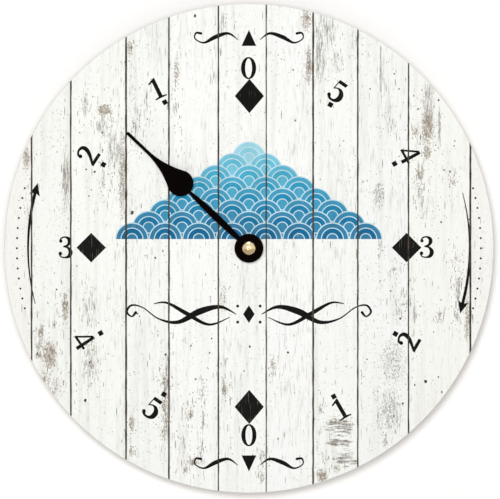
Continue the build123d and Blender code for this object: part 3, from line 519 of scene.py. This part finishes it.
def plank_print():
    """Distressed white planks: tones, grain, specks, streaks, grit, cross cracks and brown wear."""
    shader = Shader("plank_print", PRINT_ROUGHNESS, specular=PRINT_SPECULAR)
    share = shader.math("ADD", shader.math("MULTIPLY", shader.x, 0.5 / (board_radius * MM)), 0.5)
    starts = [0.0] + [0.5 + x / board_radius / 2 for x, _ in JOINTS]

    def per_plank(tones):
        return shader.steps(share, list(zip(starts, tones)))

    count = len(starts)
    tone = per_plank([colour(*shade) for shade in PLANK_TONES])
    plank = per_plank([(*even(i / count), 1) for i in range(count)])
    plank_shift = shader.math("MULTIPLY", plank, PLANK_SHIFT)
    grain_level = per_plank([(*even(level), 1) for level in PLANK_GRAIN])

    def grained(across, along):
        x = shader.math("MULTIPLY", shader.x, across)
        z = shader.math("MULTIPLY", shader.z, along)
        return shader.joined(x, plank_shift, z)

    field = shader.noise(grained(45, 12), 2.0)
    soft = shader.fade(shader.noise(grained(300, 14), 2.0), 0.46, 0.72, 0.0, 0.55)
    tone = shader.mix(soft, tone, colour(234, 233, 227))
    fine = shader.noise(grained(1200, 110), 3.0, 0.65)
    streaky = shader.fade(field, 0.44, 0.64, 0.1, 0.62)
    streak = shader.math("MULTIPLY", shader.fade(fine, 0.5, 0.72), streaky)
    tone = shader.mix(shader.math("MULTIPLY", streak, grain_level), tone, colour(150, 146, 136))
    sand = shader.noise(grained(900, 620), 3.0, 0.6)
    sandy = shader.fade(field, 0.56, 0.4, 0.12, 0.6)
    sand = shader.math("MULTIPLY", shader.fade(sand, 0.58, 0.72), sandy)
    tone = shader.mix(sand, tone, colour(178, 174, 164))

    flecks = shader.specks(shader.stretched((300, 0, 240)), 0.28)
    tone = shader.mix(shader.math("MULTIPLY", flecks, 0.5), tone, colour(126, 122, 113))

    def worn(places, across, along, light, dark, opacity):
        grain = shader.noise(grained(across, along), 4.0, 0.7)
        strength = shader.math("MULTIPLY", spots(shader, places), 0.32)
        cover = shader.fade(shader.math("ADD", grain, strength), 0.61, 0.75, 0.0, opacity)
        cover = shader.math("MULTIPLY", cover, shader.fade(strength, 0.0, 0.08))
        depth = shader.fade(shader.noise(grained(700, 400), 3.0), 0.36, 0.6)
        shade = shader.mix(depth, light, dark)
        return shader.mix(cover, tone, shade)

    tone = worn(STREAK_SPOTS, 1700, 150, colour(184, 180, 170), colour(116, 110, 102), 0.8)
    tone = worn(GRIT_SPOTS, 1300, 1000, colour(184, 180, 171), colour(112, 107, 99), 0.8)
    tone = worn(CRACK_SPOTS, 140, 800, colour(176, 166, 152), colour(104, 94, 82), 0.85)
    tone = worn(BROWN_SPOTS, 1300, 800, colour(198, 186, 172), colour(134, 120, 104), 0.9)
    return shader.paint(tone)


def ink(name, tone, scratch, scratch_tone, scratch_share):
    """Flat print colour with fine upright scratches that let the planks show."""
    shader = Shader(name, PRINT_ROUGHNESS, specular=PRINT_SPECULAR)
    scratches = shader.noise(shader.stretched((1500, 0, 90)), 3.0, 0.65)
    chips = shader.specks(shader.stretched((900, 0, 500)), 0.25)
    cover = shader.fade(scratches, 1 - scratch, 1.08 - scratch, 0.0, scratch_share)
    cover = shader.math("MAXIMUM", cover, shader.math("MULTIPLY", chips, scratch_share))
    cloud = shader.fade(shader.noise(shader.stretched((120, 0, 60))), 0.3, 0.7)
    deep = shader.mix(cloud, tone, tuple(0.86 * value for value in tone[:3]) + (1.0,))
    return shader.paint(shader.mix(cover, deep, scratch_tone))


def joint_print():
    shader = Shader("joint_print", PRINT_ROUGHNESS, specular=PRINT_SPECULAR)
    along = shader.noise(shader.stretched((90, 0, 160)), 3.0, 0.6)
    tone = shader.mix(shader.fade(along, 0.35, 0.65), colour(48, 41, 33), colour(87, 77, 66))
    return shader.paint(tone)


def finish(name, dark, light, scale, roughness, metallic=0.0, bump=0.0, specular=0.5):
    """A mottled finish: two near tones, a little variation in gloss and a fine grain."""
    shader = Shader(name, roughness, metallic, specular)
    grain = shader.noise(shader.stretched(scale), 3.0, 0.6)
    gloss = shader.fade(grain, 0.3, 0.7, roughness - GLOSS_SPREAD, roughness + GLOSS_SPREAD)
    shader.put(shader.surface.inputs["Roughness"], gloss)
    if bump:
        shader.bump(grain, bump)
    return shader.paint(shader.mix(shader.fade(grain, 0.3, 0.7), colour(*dark), colour(*light)))


def board_coat_and_rim_shade():
    """White coat on edge and front, its grey partly painted rim shade; bare brown fibreboard
    behind.
    """
    shader = Shader("board_coat_and_rim_shade", roughness=0.7)
    fibres = shader.noise(shader.stretched(even(900)), 4.0, 0.7)
    clouds = shader.noise(shader.stretched(even(60)), 2.0)
    brown = shader.mix(shader.fade(fibres, 0.3, 0.7), colour(132, 110, 84), colour(180, 156, 126))
    brown = shader.mix(shader.fade(clouds, 0.4, 0.7, 0.0, 0.3), brown, colour(156, 132, 102))
    mottle = shader.fade(fibres, 0.45, 0.7, 0.0, 0.3)
    # The edge's grey is darker than the coat alone: partly its own tone, partly painted shade that
    # deepens the dark line round the rim.
    white = shader.mix(mottle, colour(214, 214, 210), colour(194, 194, 189))
    back = shader.math("GREATER_THAN", shader.y, board_high.y - BARE_BACK_DEPTH * MM)
    return shader.paint(shader.mix(back, white, brown))


def turned_brass(name, dark, light):
    """Brass with the fine rings of a lathe tool round the arbor's axis."""
    shader = Shader(name, roughness=0.22, metallic=1.0)
    squares = [shader.math("POWER", side, 2) for side in (shader.x, shader.z)]
    reach = shader.math("SQRT", shader.math("ADD", *squares))
    rings = shader.math("SINE", shader.math("MULTIPLY", reach, LATHE_RINGS))
    shader.bump(rings, LATHE_RING_DEPTH * MM)
    grain = shader.noise(shader.stretched(even(700)), 2.0)
    return shader.paint(shader.mix(shader.fade(grain, 0.3, 0.7), colour(*dark), colour(*light)))


def winding_copper_and_turn_shade():
    """Enamelled copper wire, turn beside turn up the coil, with painted shade between the turns."""
    shader = Shader("winding_copper_and_turn_shade", roughness=0.35, metallic=0.8)
    turns = shader.math("SINE", shader.math("MULTIPLY", shader.z, WIRE_TURNS))
    shader.bump(turns, WIRE_TURN_DEPTH * MM)
    # The copper is darker in the grooves between turns and lighter on their crests: painted shade
    # and painted highlight.
    tone = shader.mix(shader.fade(turns, -1, 1), colour(112, 52, 24), colour(190, 104, 58))
    return shader.paint(tone)


def cell_finish():
    """A plain grey sleeve with a darker band at the plus end and bare steel ends."""
    shader = Shader("cell_finish", roughness=0.32)
    grain = shader.noise(shader.stretched((300, 900, 900)), 2.0)
    sleeve = shader.mix(shader.fade(grain, 0.3, 0.7), colour(96, 104, 112), colour(112, 120, 128))
    band = shader.math("GREATER_THAN", shader.x, cell_high.x - CELL_BAND * MM)
    tone = shader.mix(band, sleeve, colour(44, 48, 54))
    plus_end = shader.math("GREATER_THAN", shader.x, cell_high.x - CELL_PLUS_END * MM)
    minus_end = shader.math("LESS_THAN", shader.x, cell_low.x + CELL_MINUS_END * MM)
    ends = shader.math("MAXIMUM", plus_end, minus_end)
    shader.put(shader.surface.inputs["Metallic"], ends)
    return shader.paint(shader.mix(ends, tone, colour(186, 186, 184)))


def turned(point, turn):
    """A plan point turned clockwise about the arbor, in degrees."""
    angle = math.radians(-turn)
    x, z = point
    return (x * math.cos(angle) - z * math.sin(angle), x * math.sin(angle) + z * math.cos(angle))


def clock_place(turn, reach):
    """The plan point at a clock angle and a distance from the arbor."""
    return turned((0, reach), turn)


CUT = None
STROKE_END_SIDES = 12


class Drawing:
    """Flat loops in millimetres, each painted over the ones before it; a cut takes away."""

    def __init__(self):
        self.loops = []

    def loop(self, points, paint=0):
        area = sum(a[0] * b[1] - b[0] * a[1] for a, b in zip(points, points[1:] + points[:1]))
        self.loops.append((points if area > 0 else points[::-1], paint))

    def oval(self, x, z, half_width, half_height, paint=0, sides=40):
        turns = [2 * math.pi * i / sides for i in range(sides)]
        points = [(x + half_width * math.cos(t), z + half_height * math.sin(t)) for t in turns]
        self.loop(points, paint)

    def stroke(self, points, steps=8):
        """A pen line through points of x, z and half width, on a smooth curve with round ends."""
        ends = [points[0], *points, points[-1]]
        line = []
        for before, start, end, after in zip(ends, ends[1:], ends[2:], ends[3:]):
            for step in range(steps):
                line.append(between(before, start, end, after, step / steps))
        line.append(points[-1])
        sides = []
        for i, (x, z, half) in enumerate(line):
            behind = line[max(i - 1, 0)]
            ahead = line[min(i + 1, len(line) - 1)]
            run = Vector((ahead[0] - behind[0], ahead[1] - behind[1])).normalized()
            left = (x - run.y * half, z + run.x * half)
            right = (x + run.y * half, z - run.x * half)
            sides.append((left, right))
        for (left, right), (next_left, next_right) in zip(sides, sides[1:]):
            self.loop([left, right, next_right, next_left])
        for x, z, half in (points[0], points[-1]):
            self.oval(x, z, half, half, sides=STROKE_END_SIDES)

    def add(self, other, centre=(0, 0), turn=0, size=1.0, flip=1):
        """Puts another drawing in this one, sized, turned clockwise and moved; -1 flips it."""
        for points, paint in other.loops:
            moved = []
            for x, z in points:
                x, z = turned((flip * x * size, z * size), turn)
                moved.append((centre[0] + x, centre[1] + z))
            self.loop(moved, paint)

    def piece(self, name, front, thickness, materials, body="clock", slot="printed_board"):
        """The drawing as a thin flat mesh whose face is at y = front."""
        points = []
        faces = []
        for loop, _ in self.loops:
            faces.append(list(range(len(points), len(points) + len(loop))))
            points.extend(Vector(point) for point in loop)
        corners, _, triangles, _, _, owners = delaunay_2d_cdt(points, [], faces, 1, 1e-5)
        shown = []
        paints = []
        for triangle, owner in zip(triangles, owners):
            paint = self.loops[max(owner)][1] if owner else CUT
            if paint is not CUT:
                shown.append(triangle)
                paints.append(paint)
        used = sorted({corner for triangle in shown for corner in triangle})
        order = {corner: i for i, corner in enumerate(used)}
        places = [(corners[corner].x * MM, front, corners[corner].y * MM) for corner in used]
        mesh = bpy.data.meshes.new(name)
        mesh.from_pydata(places, [], [[order[corner] for corner in triangle] for triangle in shown])
        for material in materials:
            mesh.materials.append(material)
        mesh.polygons.foreach_set("material_index", paints)
        mesh.update()
        piece = bpy.data.objects.new(name, mesh)
        bpy.context.scene.collection.objects.link(piece)
        solid = piece.modifiers.new("thickness", "SOLIDIFY")
        solid.thickness = thickness * MM
        solid.offset = -1
        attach(piece, body)


def between(before, start, end, after, share):
    """A point on the smooth curve from start to end."""
    values = []
    for a, b, c, d in zip(before, start, end, after):
        bend = 2 * a - 5 * b + 4 * c - d
        twist = 3 * (b - c) + d - a
        values.append(b + 0.5 * share * (c - a + share * (bend + share * twist)))
    return tuple(values)


def digit_zero():
    digit = Drawing()
    digit.oval(0, 0.5, 0.345, 0.505)
    digit.oval(0, 0.5, 0.155, 0.436, CUT)
    return digit


def digit_one():
    digit = Drawing()
    digit.loop([(-0.09, 0.0), (0.09, 0.0), (0.09, 0.97), (0.04, 0.97), (-0.09, 0.88)])
    digit.loop([(-0.09, 0.81), (0.04, 0.97), (-0.28, 0.82), (-0.26, 0.75)])
    digit.loop(
        [(-0.29, 0.0), (0.29, 0.0), (0.29, 0.05), (0.09, 0.09), (-0.09, 0.09), (-0.29, 0.05)]
    )
    return digit


def digit_two():
    digit = Drawing()
    digit.stroke(
        [
            (-0.27, 0.74, 0.05),
            (-0.23, 0.87, 0.05),
            (-0.05, 0.95, 0.05),
            (0.13, 0.88, 0.08),
            (0.175, 0.72, 0.095),
            (0.1, 0.51, 0.085),
            (-0.06, 0.29, 0.065),
            (-0.26, 0.07, 0.05),
        ]
    )
    digit.oval(-0.24, 0.745, 0.085, 0.095)
    digit.loop([(-0.33, 0.0), (0.335, 0.0), (0.335, 0.15), (-0.24, 0.15)])
    return digit


def digit_three():
    digit = Drawing()
    digit.stroke(
        [
            (-0.27, 0.77, 0.02),
            (-0.19, 0.91, 0.035),
            (-0.02, 0.965, 0.035),
            (0.14, 0.89, 0.075),
            (0.18, 0.75, 0.085),
            (0.1, 0.6, 0.055),
            (-0.09, 0.53, 0.028),
        ]
    )
    digit.stroke(
        [
            (-0.09, 0.53, 0.028),
            (0.11, 0.48, 0.05),
            (0.23, 0.29, 0.095),
            (0.16, 0.1, 0.08),
            (-0.03, 0.035, 0.035),
            (-0.22, 0.08, 0.03),
            (-0.3, 0.22, 0.02),
        ]
    )
    digit.oval(-0.215, 0.785, 0.075, 0.08)
    digit.oval(-0.235, 0.215, 0.08, 0.085)
    return digit


def digit_four():
    digit = Drawing()
    digit.loop([(0.07, 0.02), (0.235, 0.02), (0.235, 0.97), (0.1, 0.97)])
    digit.loop([(0.08, 0.97), (0.19, 0.97), (-0.26, 0.3), (-0.36, 0.3)])
    digit.loop([(-0.36, 0.235), (0.36, 0.235), (0.36, 0.35), (-0.36, 0.35)])
    return digit


def digit_five():
    digit = Drawing()
    digit.loop([(-0.18, 0.84), (0.22, 0.82), (0.26, 0.98), (-0.18, 1.0)])
    digit.loop([(-0.18, 1.0), (-0.25, 0.52), (-0.2, 0.52), (-0.13, 1.0)])
    digit.stroke(
        [
            (-0.225, 0.54, 0.025),
            (-0.06, 0.615, 0.035),
            (0.12, 0.57, 0.08),
            (0.235, 0.39, 0.115),
            (0.2, 0.17, 0.11),
            (0.04, 0.05, 0.06),
            (-0.16, 0.06, 0.055),
            (-0.265, 0.18, 0.085),
        ]
    )
    return digit


DIGITS = [digit_zero(), digit_one(), digit_two(), digit_three(), digit_four(), digit_five()]


def numerals():
    drawing = Drawing()
    for digit, angle, reach, turn in NUMERALS:
        middle = Drawing()
        middle.add(DIGITS[digit], (0, -0.5))
        drawing.add(middle, clock_place(angle, reach), turn, NUMERAL_HEIGHT)
    return drawing


def dots():
    drawing = Drawing()
    square = Drawing()
    half = DOT_HALF
    square.loop([(-half, -half), (half, -half), (half, half), (-half, half)])
    for angle, reach in DOTS:
        drawing.add(square, clock_place(angle, reach), angle)
    return drawing


def diamonds(places):
    drawing = Drawing()
    for x, z, half_width, half_height in places:
        sides = ((-half_width, 0), (0, -half_height), (half_width, 0), (0, half_height))
        drawing.loop([(x + across, z + up) for across, up in sides])
    return drawing


def swash():
    """Half of a pen flourish, from the middle out to a curled end."""
    half = Drawing()
    half.stroke(
        [
            (8, 0, 0.25),
            (18, 4.5, 1.1),
            (31, 1.5, 2.0),
            (44, -5, 1.2),
            (56, -3, 0.5),
            (66, 4, 0.4),
            (73, 5.5, 0.6),
            (76, 1.5, 0.7),
            (73, -1.5, 0.5),
            (70.5, 1, 0.9),
        ]
    )
    half.stroke([(12, -2, 0.2), (25, -6.5, 0.8), (39, 0.5, 1.3), (51, 7, 0.7), (59, 6.5, 0.3)])
    for z in (5, -5):
        half.oval(7, z, 0.9, 0.9)
    return half


def short_swash():
    """Half of a short pen flourish."""
    half = Drawing()
    half.stroke(
        [
            (7, -1, 0.2),
            (13, 2.8, 0.8),
            (21, 0.5, 1.3),
            (28, -3, 0.6),
            (33.5, -0.5, 0.4),
            (33, 3, 0.6),
            (29.8, 2.8, 0.8),
        ]
    )
    return half


def tide_marks():
    """Generic signs: a flourish across the dial, marks up and down, and an arrow on each side."""
    drawing = Drawing()
    for flip in (-1, 1):
        drawing.add(swash(), (0, FLOURISH_Z), flip=flip)
        drawing.add(short_swash(), (0, HIGH_SIGN_Z), flip=flip)
        drawing.add(short_swash(), (0, LOW_SIGN_Z), flip=flip)
    drawing.add(diamonds([(0, FLOURISH_Z, GEM_HALF_WIDTH, GEM_HALF_HEIGHT)]))
    sign = Drawing()
    wide, high = SIGN_HALF_WIDTH, SIGN_HALF_HEIGHT
    sign.loop([(-wide, -high), (wide, -high), (0, high)])
    drawing.add(sign, (0, HIGH_SIGN_Z))
    drawing.add(sign, (0, LOW_SIGN_Z), 180)
    head = Drawing()
    head.loop(ARC_HEAD)
    for side_turn in (-90, 90):
        shaft = []
        for step in range(ARC_STEPS + 1):
            share = step / ARC_STEPS
            x, z = clock_place(side_turn + ARC_SWEEP * (share - 0.5), ARC_REACH)
            shaft.append((x, z, ARC_TAIL_HALF + (ARC_FRONT_HALF - ARC_TAIL_HALF) * share))
        drawing.stroke(shaft)
        end_turn = side_turn + ARC_SWEEP / 2
        drawing.add(head, clock_place(end_turn, ARC_REACH), end_turn)
        for bead in range(BEADS):
            x, z = clock_place(side_turn + BEAD_SPACING * (bead - (BEADS - 1) / 2), BEAD_REACH)
            drawing.oval(x, z, BEAD_RADIUS, BEAD_RADIUS, sides=BEAD_SIDES)
    return drawing


def sea():
    """Rows of ringed fans, each over the row behind it and a fan longer, cut off along the base."""
    drawing = Drawing()
    rows = len(SEA_TONES)
    for row in range(rows):
        z = SEA_BASE + SEA_ROW_RISE * (rows - 1 - row)
        reach = SEA_TOP_FANS - 1 + row
        for column in range(-reach, reach + 1, 2):
            for ring, share in enumerate(SEA_RINGS):
                # Pale lines and the two blues of the row, by turns
                paint = 0 if ring % 2 == 0 else 2 * row + 1 + ring // 2 % 2
                radius = share * SEA_FAN_RADIUS
                drawing.oval(column * SEA_FAN_RADIUS, z, radius, radius, paint)
    far = board_radius
    drawing.loop([(-far, -far), (far, -far), (far, SEA_BASE), (-far, SEA_BASE)], CUT)
    return drawing


def plank_joints():
    """The dark lines between planks, a little uneven, cut off round the rim."""
    chance = random.Random(SEED)
    drawing = Drawing()
    rim = board_radius - PRINT_MARGIN
    for x, half_width in JOINTS:
        reach = math.sqrt(rim**2 - (abs(x) - half_width) ** 2)
        count = math.ceil(2 * reach / JOINT_STEP)
        line = []
        for step in range(count + 1):
            wander = chance.uniform(-JOINT_WANDER, JOINT_WANDER)
            half = half_width + chance.uniform(-JOINT_WANDER, JOINT_WANDER)
            line.append((x + wander, -reach + 2 * reach * step / count, half))
        drawing.stroke(line, steps=2)
    beyond = 2 * rim
    for side in (0, 180):
        turns = [side + 180 * step / RIM_STEPS for step in range(RIM_STEPS + 1)]
        inner = [clock_place(turn, rim) for turn in turns]
        outer = [clock_place(turn, beyond) for turn in reversed(turns)]
        drawing.loop(inner + outer, CUT)
    return drawing


def knots():
    """Small dark knots with uneven outlines."""
    chance = random.Random(SEED + 1)
    drawing = Drawing()
    for x, z, radius in KNOTS:
        points = []
        for step in range(KNOT_CORNERS):
            turn = 2 * math.pi * step / KNOT_CORNERS
            reach = radius * chance.uniform(*KNOT_REACH)
            points.append((x + KNOT_WIDTH * reach * math.cos(turn), z + reach * math.sin(turn)))
        drawing.loop(points)
    return drawing


def flecks():
    """Small dark flecks and upright dashes, most of them gathered round the worn places."""
    chance = random.Random(SEED + 3)
    drawing = Drawing()
    rim = board_radius - FLECK_MARGIN
    worn_places = BROWN_SPOTS + STREAK_SPOTS + GRIT_SPOTS
    for _ in range(FLECKS):
        if chance.random() < FLECK_WORN_SHARE:
            x, z, half_width, half_height, _ = chance.choice(worn_places)
            x += chance.gauss(0, 1.1 * half_width + 1)
            z += chance.gauss(0, 1.1 * half_height + 3)
        else:
            x, z = turned((0, rim * math.sqrt(chance.random())), chance.uniform(0, 360))
        if math.hypot(x, z) > rim - FLECK_LONGEST:
            continue
        half_width = chance.uniform(*FLECK_HALF_WIDTHS)
        half_height = half_width * chance.uniform(0.8, 1.6)
        if chance.random() < FLECK_DASH_SHARE:
            half_width = chance.uniform(*FLECK_DASH_HALF_WIDTHS)
            half_height = FLECK_LONGEST * chance.uniform(0.15, 1) ** 2
        paint = chance.choice(FLECK_PAINTS)
        points = []
        for step in range(FLECK_CORNERS):
            turn = 2 * math.pi * step / FLECK_CORNERS
            size = chance.uniform(0.7, 1.2)
            across = size * half_width * math.cos(turn)
            points.append((x + across, z + size * half_height * math.sin(turn)))
        drawing.loop(points, paint)
    return drawing


def print_sheet():
    drawing = Drawing()
    rim = board_radius - PRINT_MARGIN
    hole = washer_radius + PRINT_MARGIN
    drawing.oval(0, 0, rim, rim, sides=2 * RIM_STEPS)
    drawing.oval(0, 0, hole, hole, CUT, sides=HOLE_STEPS)
    return drawing


def knob_arrow():
    """A curved arrow on the setting knob that shows which way it turns."""
    drawing = Drawing()
    centre = ((knob_low.x + knob_high.x) / 2 / MM, (knob_low.z + knob_high.z) / 2 / MM)
    arc = []
    for step in range(KNOB_ARROW_STEPS + 1):
        turn = KNOB_ARROW_START + KNOB_ARROW_SWEEP * step / KNOB_ARROW_STEPS
        x, z = clock_place(turn, KNOB_ARROW_REACH)
        arc.append((centre[0] + x, centre[1] + z, KNOB_ARROW_HALF))
    drawing.stroke(arc)
    head = Drawing()
    head.loop(KNOB_ARROW_HEAD)
    drawing.add(head, arc[-1][:2], KNOB_ARROW_START + KNOB_ARROW_SWEEP)
    return drawing


def lay_print():
    """Lays the print on the board, layer by layer."""
    white = colour(228, 226, 220)
    black = ink("black_ink", colour(18, 18, 17), 0.35, colour(140, 138, 132), 0.5)
    worn = ink("worn_ink", colour(22, 22, 21), 0.41, colour(128, 126, 120), 0.6)
    blues = [ink("foam_ink", colour(202, 231, 241), 0.32, white, 0.5)]
    for layer, tone in enumerate(SEA_TONES):
        light = tuple(round(value + SEA_LIGHT_SHARE * (255 - value)) for value in tone)
        blues.append(ink(f"light_wave_ink_{layer}", colour(*light), 0.36, white, 0.5))
        blues.append(ink(f"wave_ink_{layer}", colour(*tone), 0.36, white, 0.5))
    print_sheet().piece("dial_print", print_front, PRINT_THICKNESS, [plank_print()])
    fleck_inks = []
    for layer, tone in enumerate(FLECK_TONES):
        fleck_inks.append(ink(f"fleck_ink_{layer}", colour(*tone), 0.4, white, 0.4))
    flecks().piece("wear_flecks", fleck_front, FLECK_THICKNESS, fleck_inks)
    sea().piece("sea_print", ink_front, INK_THICKNESS, blues)
    numerals().piece("numerals", ink_front, INK_THICKNESS, [black])
    dots().piece("hour_dots", ink_front, INK_THICKNESS, [black])
    diamonds(FRESH_DIAMONDS).piece("fresh_diamond", ink_front, INK_THICKNESS, [black])
    diamonds(WORN_DIAMONDS).piece("worn_diamonds", ink_front, INK_THICKNESS, [worn])
    tide_marks().piece("tide_marks", ink_front, INK_THICKNESS, [black])
    knots().piece("knots", ink_front, INK_THICKNESS, [joint_print()])
    plank_joints().piece("plank_joints", joint_front, INK_THICKNESS, [joint_print()])
    pale = ink("arrow_paint", colour(206, 206, 202), 0.36, colour(150, 150, 146), 0.5)
    knob_arrow().piece("knob_arrow", knob_high.y, ARROW_THICKNESS, [pale], "setting", "black_case")


def dress_frame():
    """Gives every CAD node its finish."""
    case_grain = CASE_GRAIN_DEPTH * MM
    black_case = finish("black_case", (24, 24, 25), (34, 34, 35), even(2600), 0.5, bump=case_grain)
    acetal = finish("acetal", (226, 222, 208), (240, 237, 226), even(500), 0.4)
    spring = finish("spring_strip", (176, 176, 174), (206, 206, 204), (90, 90, 2400), 0.28, 1.0)
    steel = finish("motor_steel", (128, 128, 130), (156, 156, 158), (2400, 90, 90), 0.35, 1.0)
    bridge_plastic = finish("bridge_plastic", (186, 186, 182), (204, 204, 200), even(500), 0.45)
    plated_can = finish(
        "plated_can", (190, 190, 192), (214, 214, 216), (300, 1800, 1800), 0.2, 1.0
    )
    brass = finish("plain_brass", (176, 140, 72), (206, 170, 100), even(600), 0.3, 1.0)
    finishes = {
        "dial_board": board_coat_and_rim_shade(),
        "tide_hand": finish("satin_black", (4, 1, 1), (8, 3, 3), even(1800), 0.68, specular=0.015),
        "cap_nut": turned_brass("turned_brass", (220, 194, 146), (238, 214, 168)),
        "threaded_bushing": brass,
        "dial_washer": brass,
        "bushing_nut": brass,
        "tide_arbor": brass,
        "rubber_washer": finish("rubber", (20, 20, 20), (32, 32, 32), even(900), 0.75),
        "movement_case": black_case,
        "hanging_ear": black_case,
        "rear_cover": black_case,
        "setting_knob": black_case,
        "main_plate": bridge_plastic,
        "train_bridge": bridge_plastic,
        "tide_wheel": acetal,
        "clutch_pinion": acetal,
        "clutch_wheel": acetal,
        "third_wheel": acetal,
        "second_wheel": acetal,
        "rotor_pinion": acetal,
        "setting_pinion": acetal,
        "clutch_spring": spring,
        "positive_contact": spring,
        "negative_contact": spring,
        "rotor_magnet": finish("magnet", (62, 62, 66), (92, 92, 96), even(1500), 0.5, 0.6),
        "stator_plate": steel,
        "coil_core": steel,
        "coil_bobbin": finish("bobbin", (38, 40, 44), (52, 54, 58), even(700), 0.5),
        "coil_winding": winding_copper_and_turn_shade(),
        "circuit_board": finish("laminate", (116, 82, 40), (146, 106, 58), (300, 900, 300), 0.55),
        "chip_cover": finish("chip_resin", (14, 14, 14), (26, 26, 26), even(1200), 0.2),
        "quartz_crystal": plated_can,
        "aa_cell": cell_finish(),
    }
    for name, node in nodes.items():
        node.data.materials.clear()
        node.data.materials.append(finishes[name])
    edge = nodes["tide_hand"].modifiers.new("stamped_edge", "BEVEL")
    edge.width = STAMPED_EDGE * MM
    edge.segments = 2
    edge.limit_method = "ANGLE"


def stage_sheet(name, corners, material):
    mesh = bpy.data.meshes.new(name)
    mesh.from_pydata(corners, [], [(0, 1, 2, 3)])
    mesh.materials.append(material)
    sheet = bpy.data.objects.new(name, mesh)
    bpy.context.scene.collection.objects.link(sheet)


def wall_material():
    """White paper that only the camera sees, from its front; other rays go on to the world."""
    material = bpy.data.materials.new("wall_paper")
    material.use_nodes = True
    tree = material.node_tree
    tree.nodes.clear()
    paper = tree.nodes.new("ShaderNodeBsdfDiffuse")
    paper.inputs["Color"].default_value = (1, 1, 1, 1)
    glow = tree.nodes.new("ShaderNodeEmission")
    glow.inputs["Strength"].default_value = WALL_GLOW
    lit = tree.nodes.new("ShaderNodeAddShader")
    tree.links.new(paper.outputs[0], lit.inputs[0])
    tree.links.new(glow.outputs[0], lit.inputs[1])
    clear = tree.nodes.new("ShaderNodeBsdfTransparent")
    rays = tree.nodes.new("ShaderNodeLightPath")
    side = tree.nodes.new("ShaderNodeNewGeometry")
    front = tree.nodes.new("ShaderNodeMath")
    front.operation = "SUBTRACT"
    front.use_clamp = True
    tree.links.new(rays.outputs["Is Camera Ray"], front.inputs[0])
    tree.links.new(side.outputs["Backfacing"], front.inputs[1])
    choice = tree.nodes.new("ShaderNodeMixShader")
    tree.links.new(front.outputs[0], choice.inputs[0])
    tree.links.new(clear.outputs[0], choice.inputs[1])
    tree.links.new(lit.outputs[0], choice.inputs[2])
    output = tree.nodes.new("ShaderNodeOutputMaterial")
    tree.links.new(choice.outputs[0], output.inputs["Surface"])
    return material


def build_stage():
    """A white wall behind the clock and a pale floor well below it."""
    far = STAGE_HALF
    low = -FLOOR_DROP
    wall = [(x, WALL_GAP, z) for x, z in ((-far, low), (far, low), (far, far), (-far, far))]
    stage_sheet("wall", wall, wall_material())
    floor = [(-far, -far, low), (far, -far, low), (far, far, low), (-far, far, low)]
    floor_paper = finish("floor_paper", (240, 240, 238), (246, 246, 244), even(8), 0.8)
    stage_sheet("floor", floor, floor_paper)


def build_sun(name, direction, strength, angle):
    lamp = bpy.data.lights.new(name, "SUN")
    lamp.energy = strength
    lamp.angle = math.radians(angle)
    sun = bpy.data.objects.new(name, lamp)
    sun.rotation_euler = Vector(direction).to_track_quat("-Z", "Y").to_euler()
    bpy.context.scene.collection.objects.link(sun)


def build_light():
    """Soft suns, and a world that is white where it is seen and dim where it only lights."""
    world = bpy.data.worlds.new("studio")
    bpy.context.scene.world = world
    world.use_nodes = True
    tree = world.node_tree
    background = tree.nodes["Background"]
    background.inputs["Color"].default_value = (1, 1, 1, 1)
    rays = tree.nodes.new("ShaderNodeLightPath")
    seen = rays.outputs["Is Camera Ray"]
    for kind in ("Is Glossy Ray", "Is Transmission Ray"):
        either = tree.nodes.new("ShaderNodeMath")
        either.operation = "MAXIMUM"
        tree.links.new(seen, either.inputs[0])
        tree.links.new(rays.outputs[kind], either.inputs[1])
        seen = either.outputs[0]
    level = tree.nodes.new("ShaderNodeMapRange")
    level.inputs["To Min"].default_value = AMBIENT
    level.inputs["To Max"].default_value = 1.0
    tree.links.new(seen, level.inputs["Value"])
    tree.links.new(level.outputs[0], background.inputs["Strength"])
    for name, setting in SUNS.items():
        build_sun(name, *setting)


def build_camera():
    """A long lens straight in front, with the disc where the photograph has it."""
    pixel = board_radius * MM / PHOTO_DISC_RADIUS
    camera = bpy.data.cameras.new("camera")
    camera.sensor_width = SENSOR_WIDTH
    camera.lens = SENSOR_WIDTH * VIEW_DISTANCE / (PHOTO_WIDTH * pixel)
    viewer = bpy.data.objects.new("camera", camera)
    viewer.location = (PHOTO_LEFT * pixel, board_low.y - VIEW_DISTANCE, -PHOTO_UP * pixel)
    viewer.rotation_euler = (math.radians(90), 0, 0)
    bpy.context.scene.collection.objects.link(viewer)
    bpy.context.scene.camera = viewer


dress_frame()
lay_print()
build_stage()
build_light()
build_camera()
bpy.context.scene.view_settings.view_transform = "Standard"
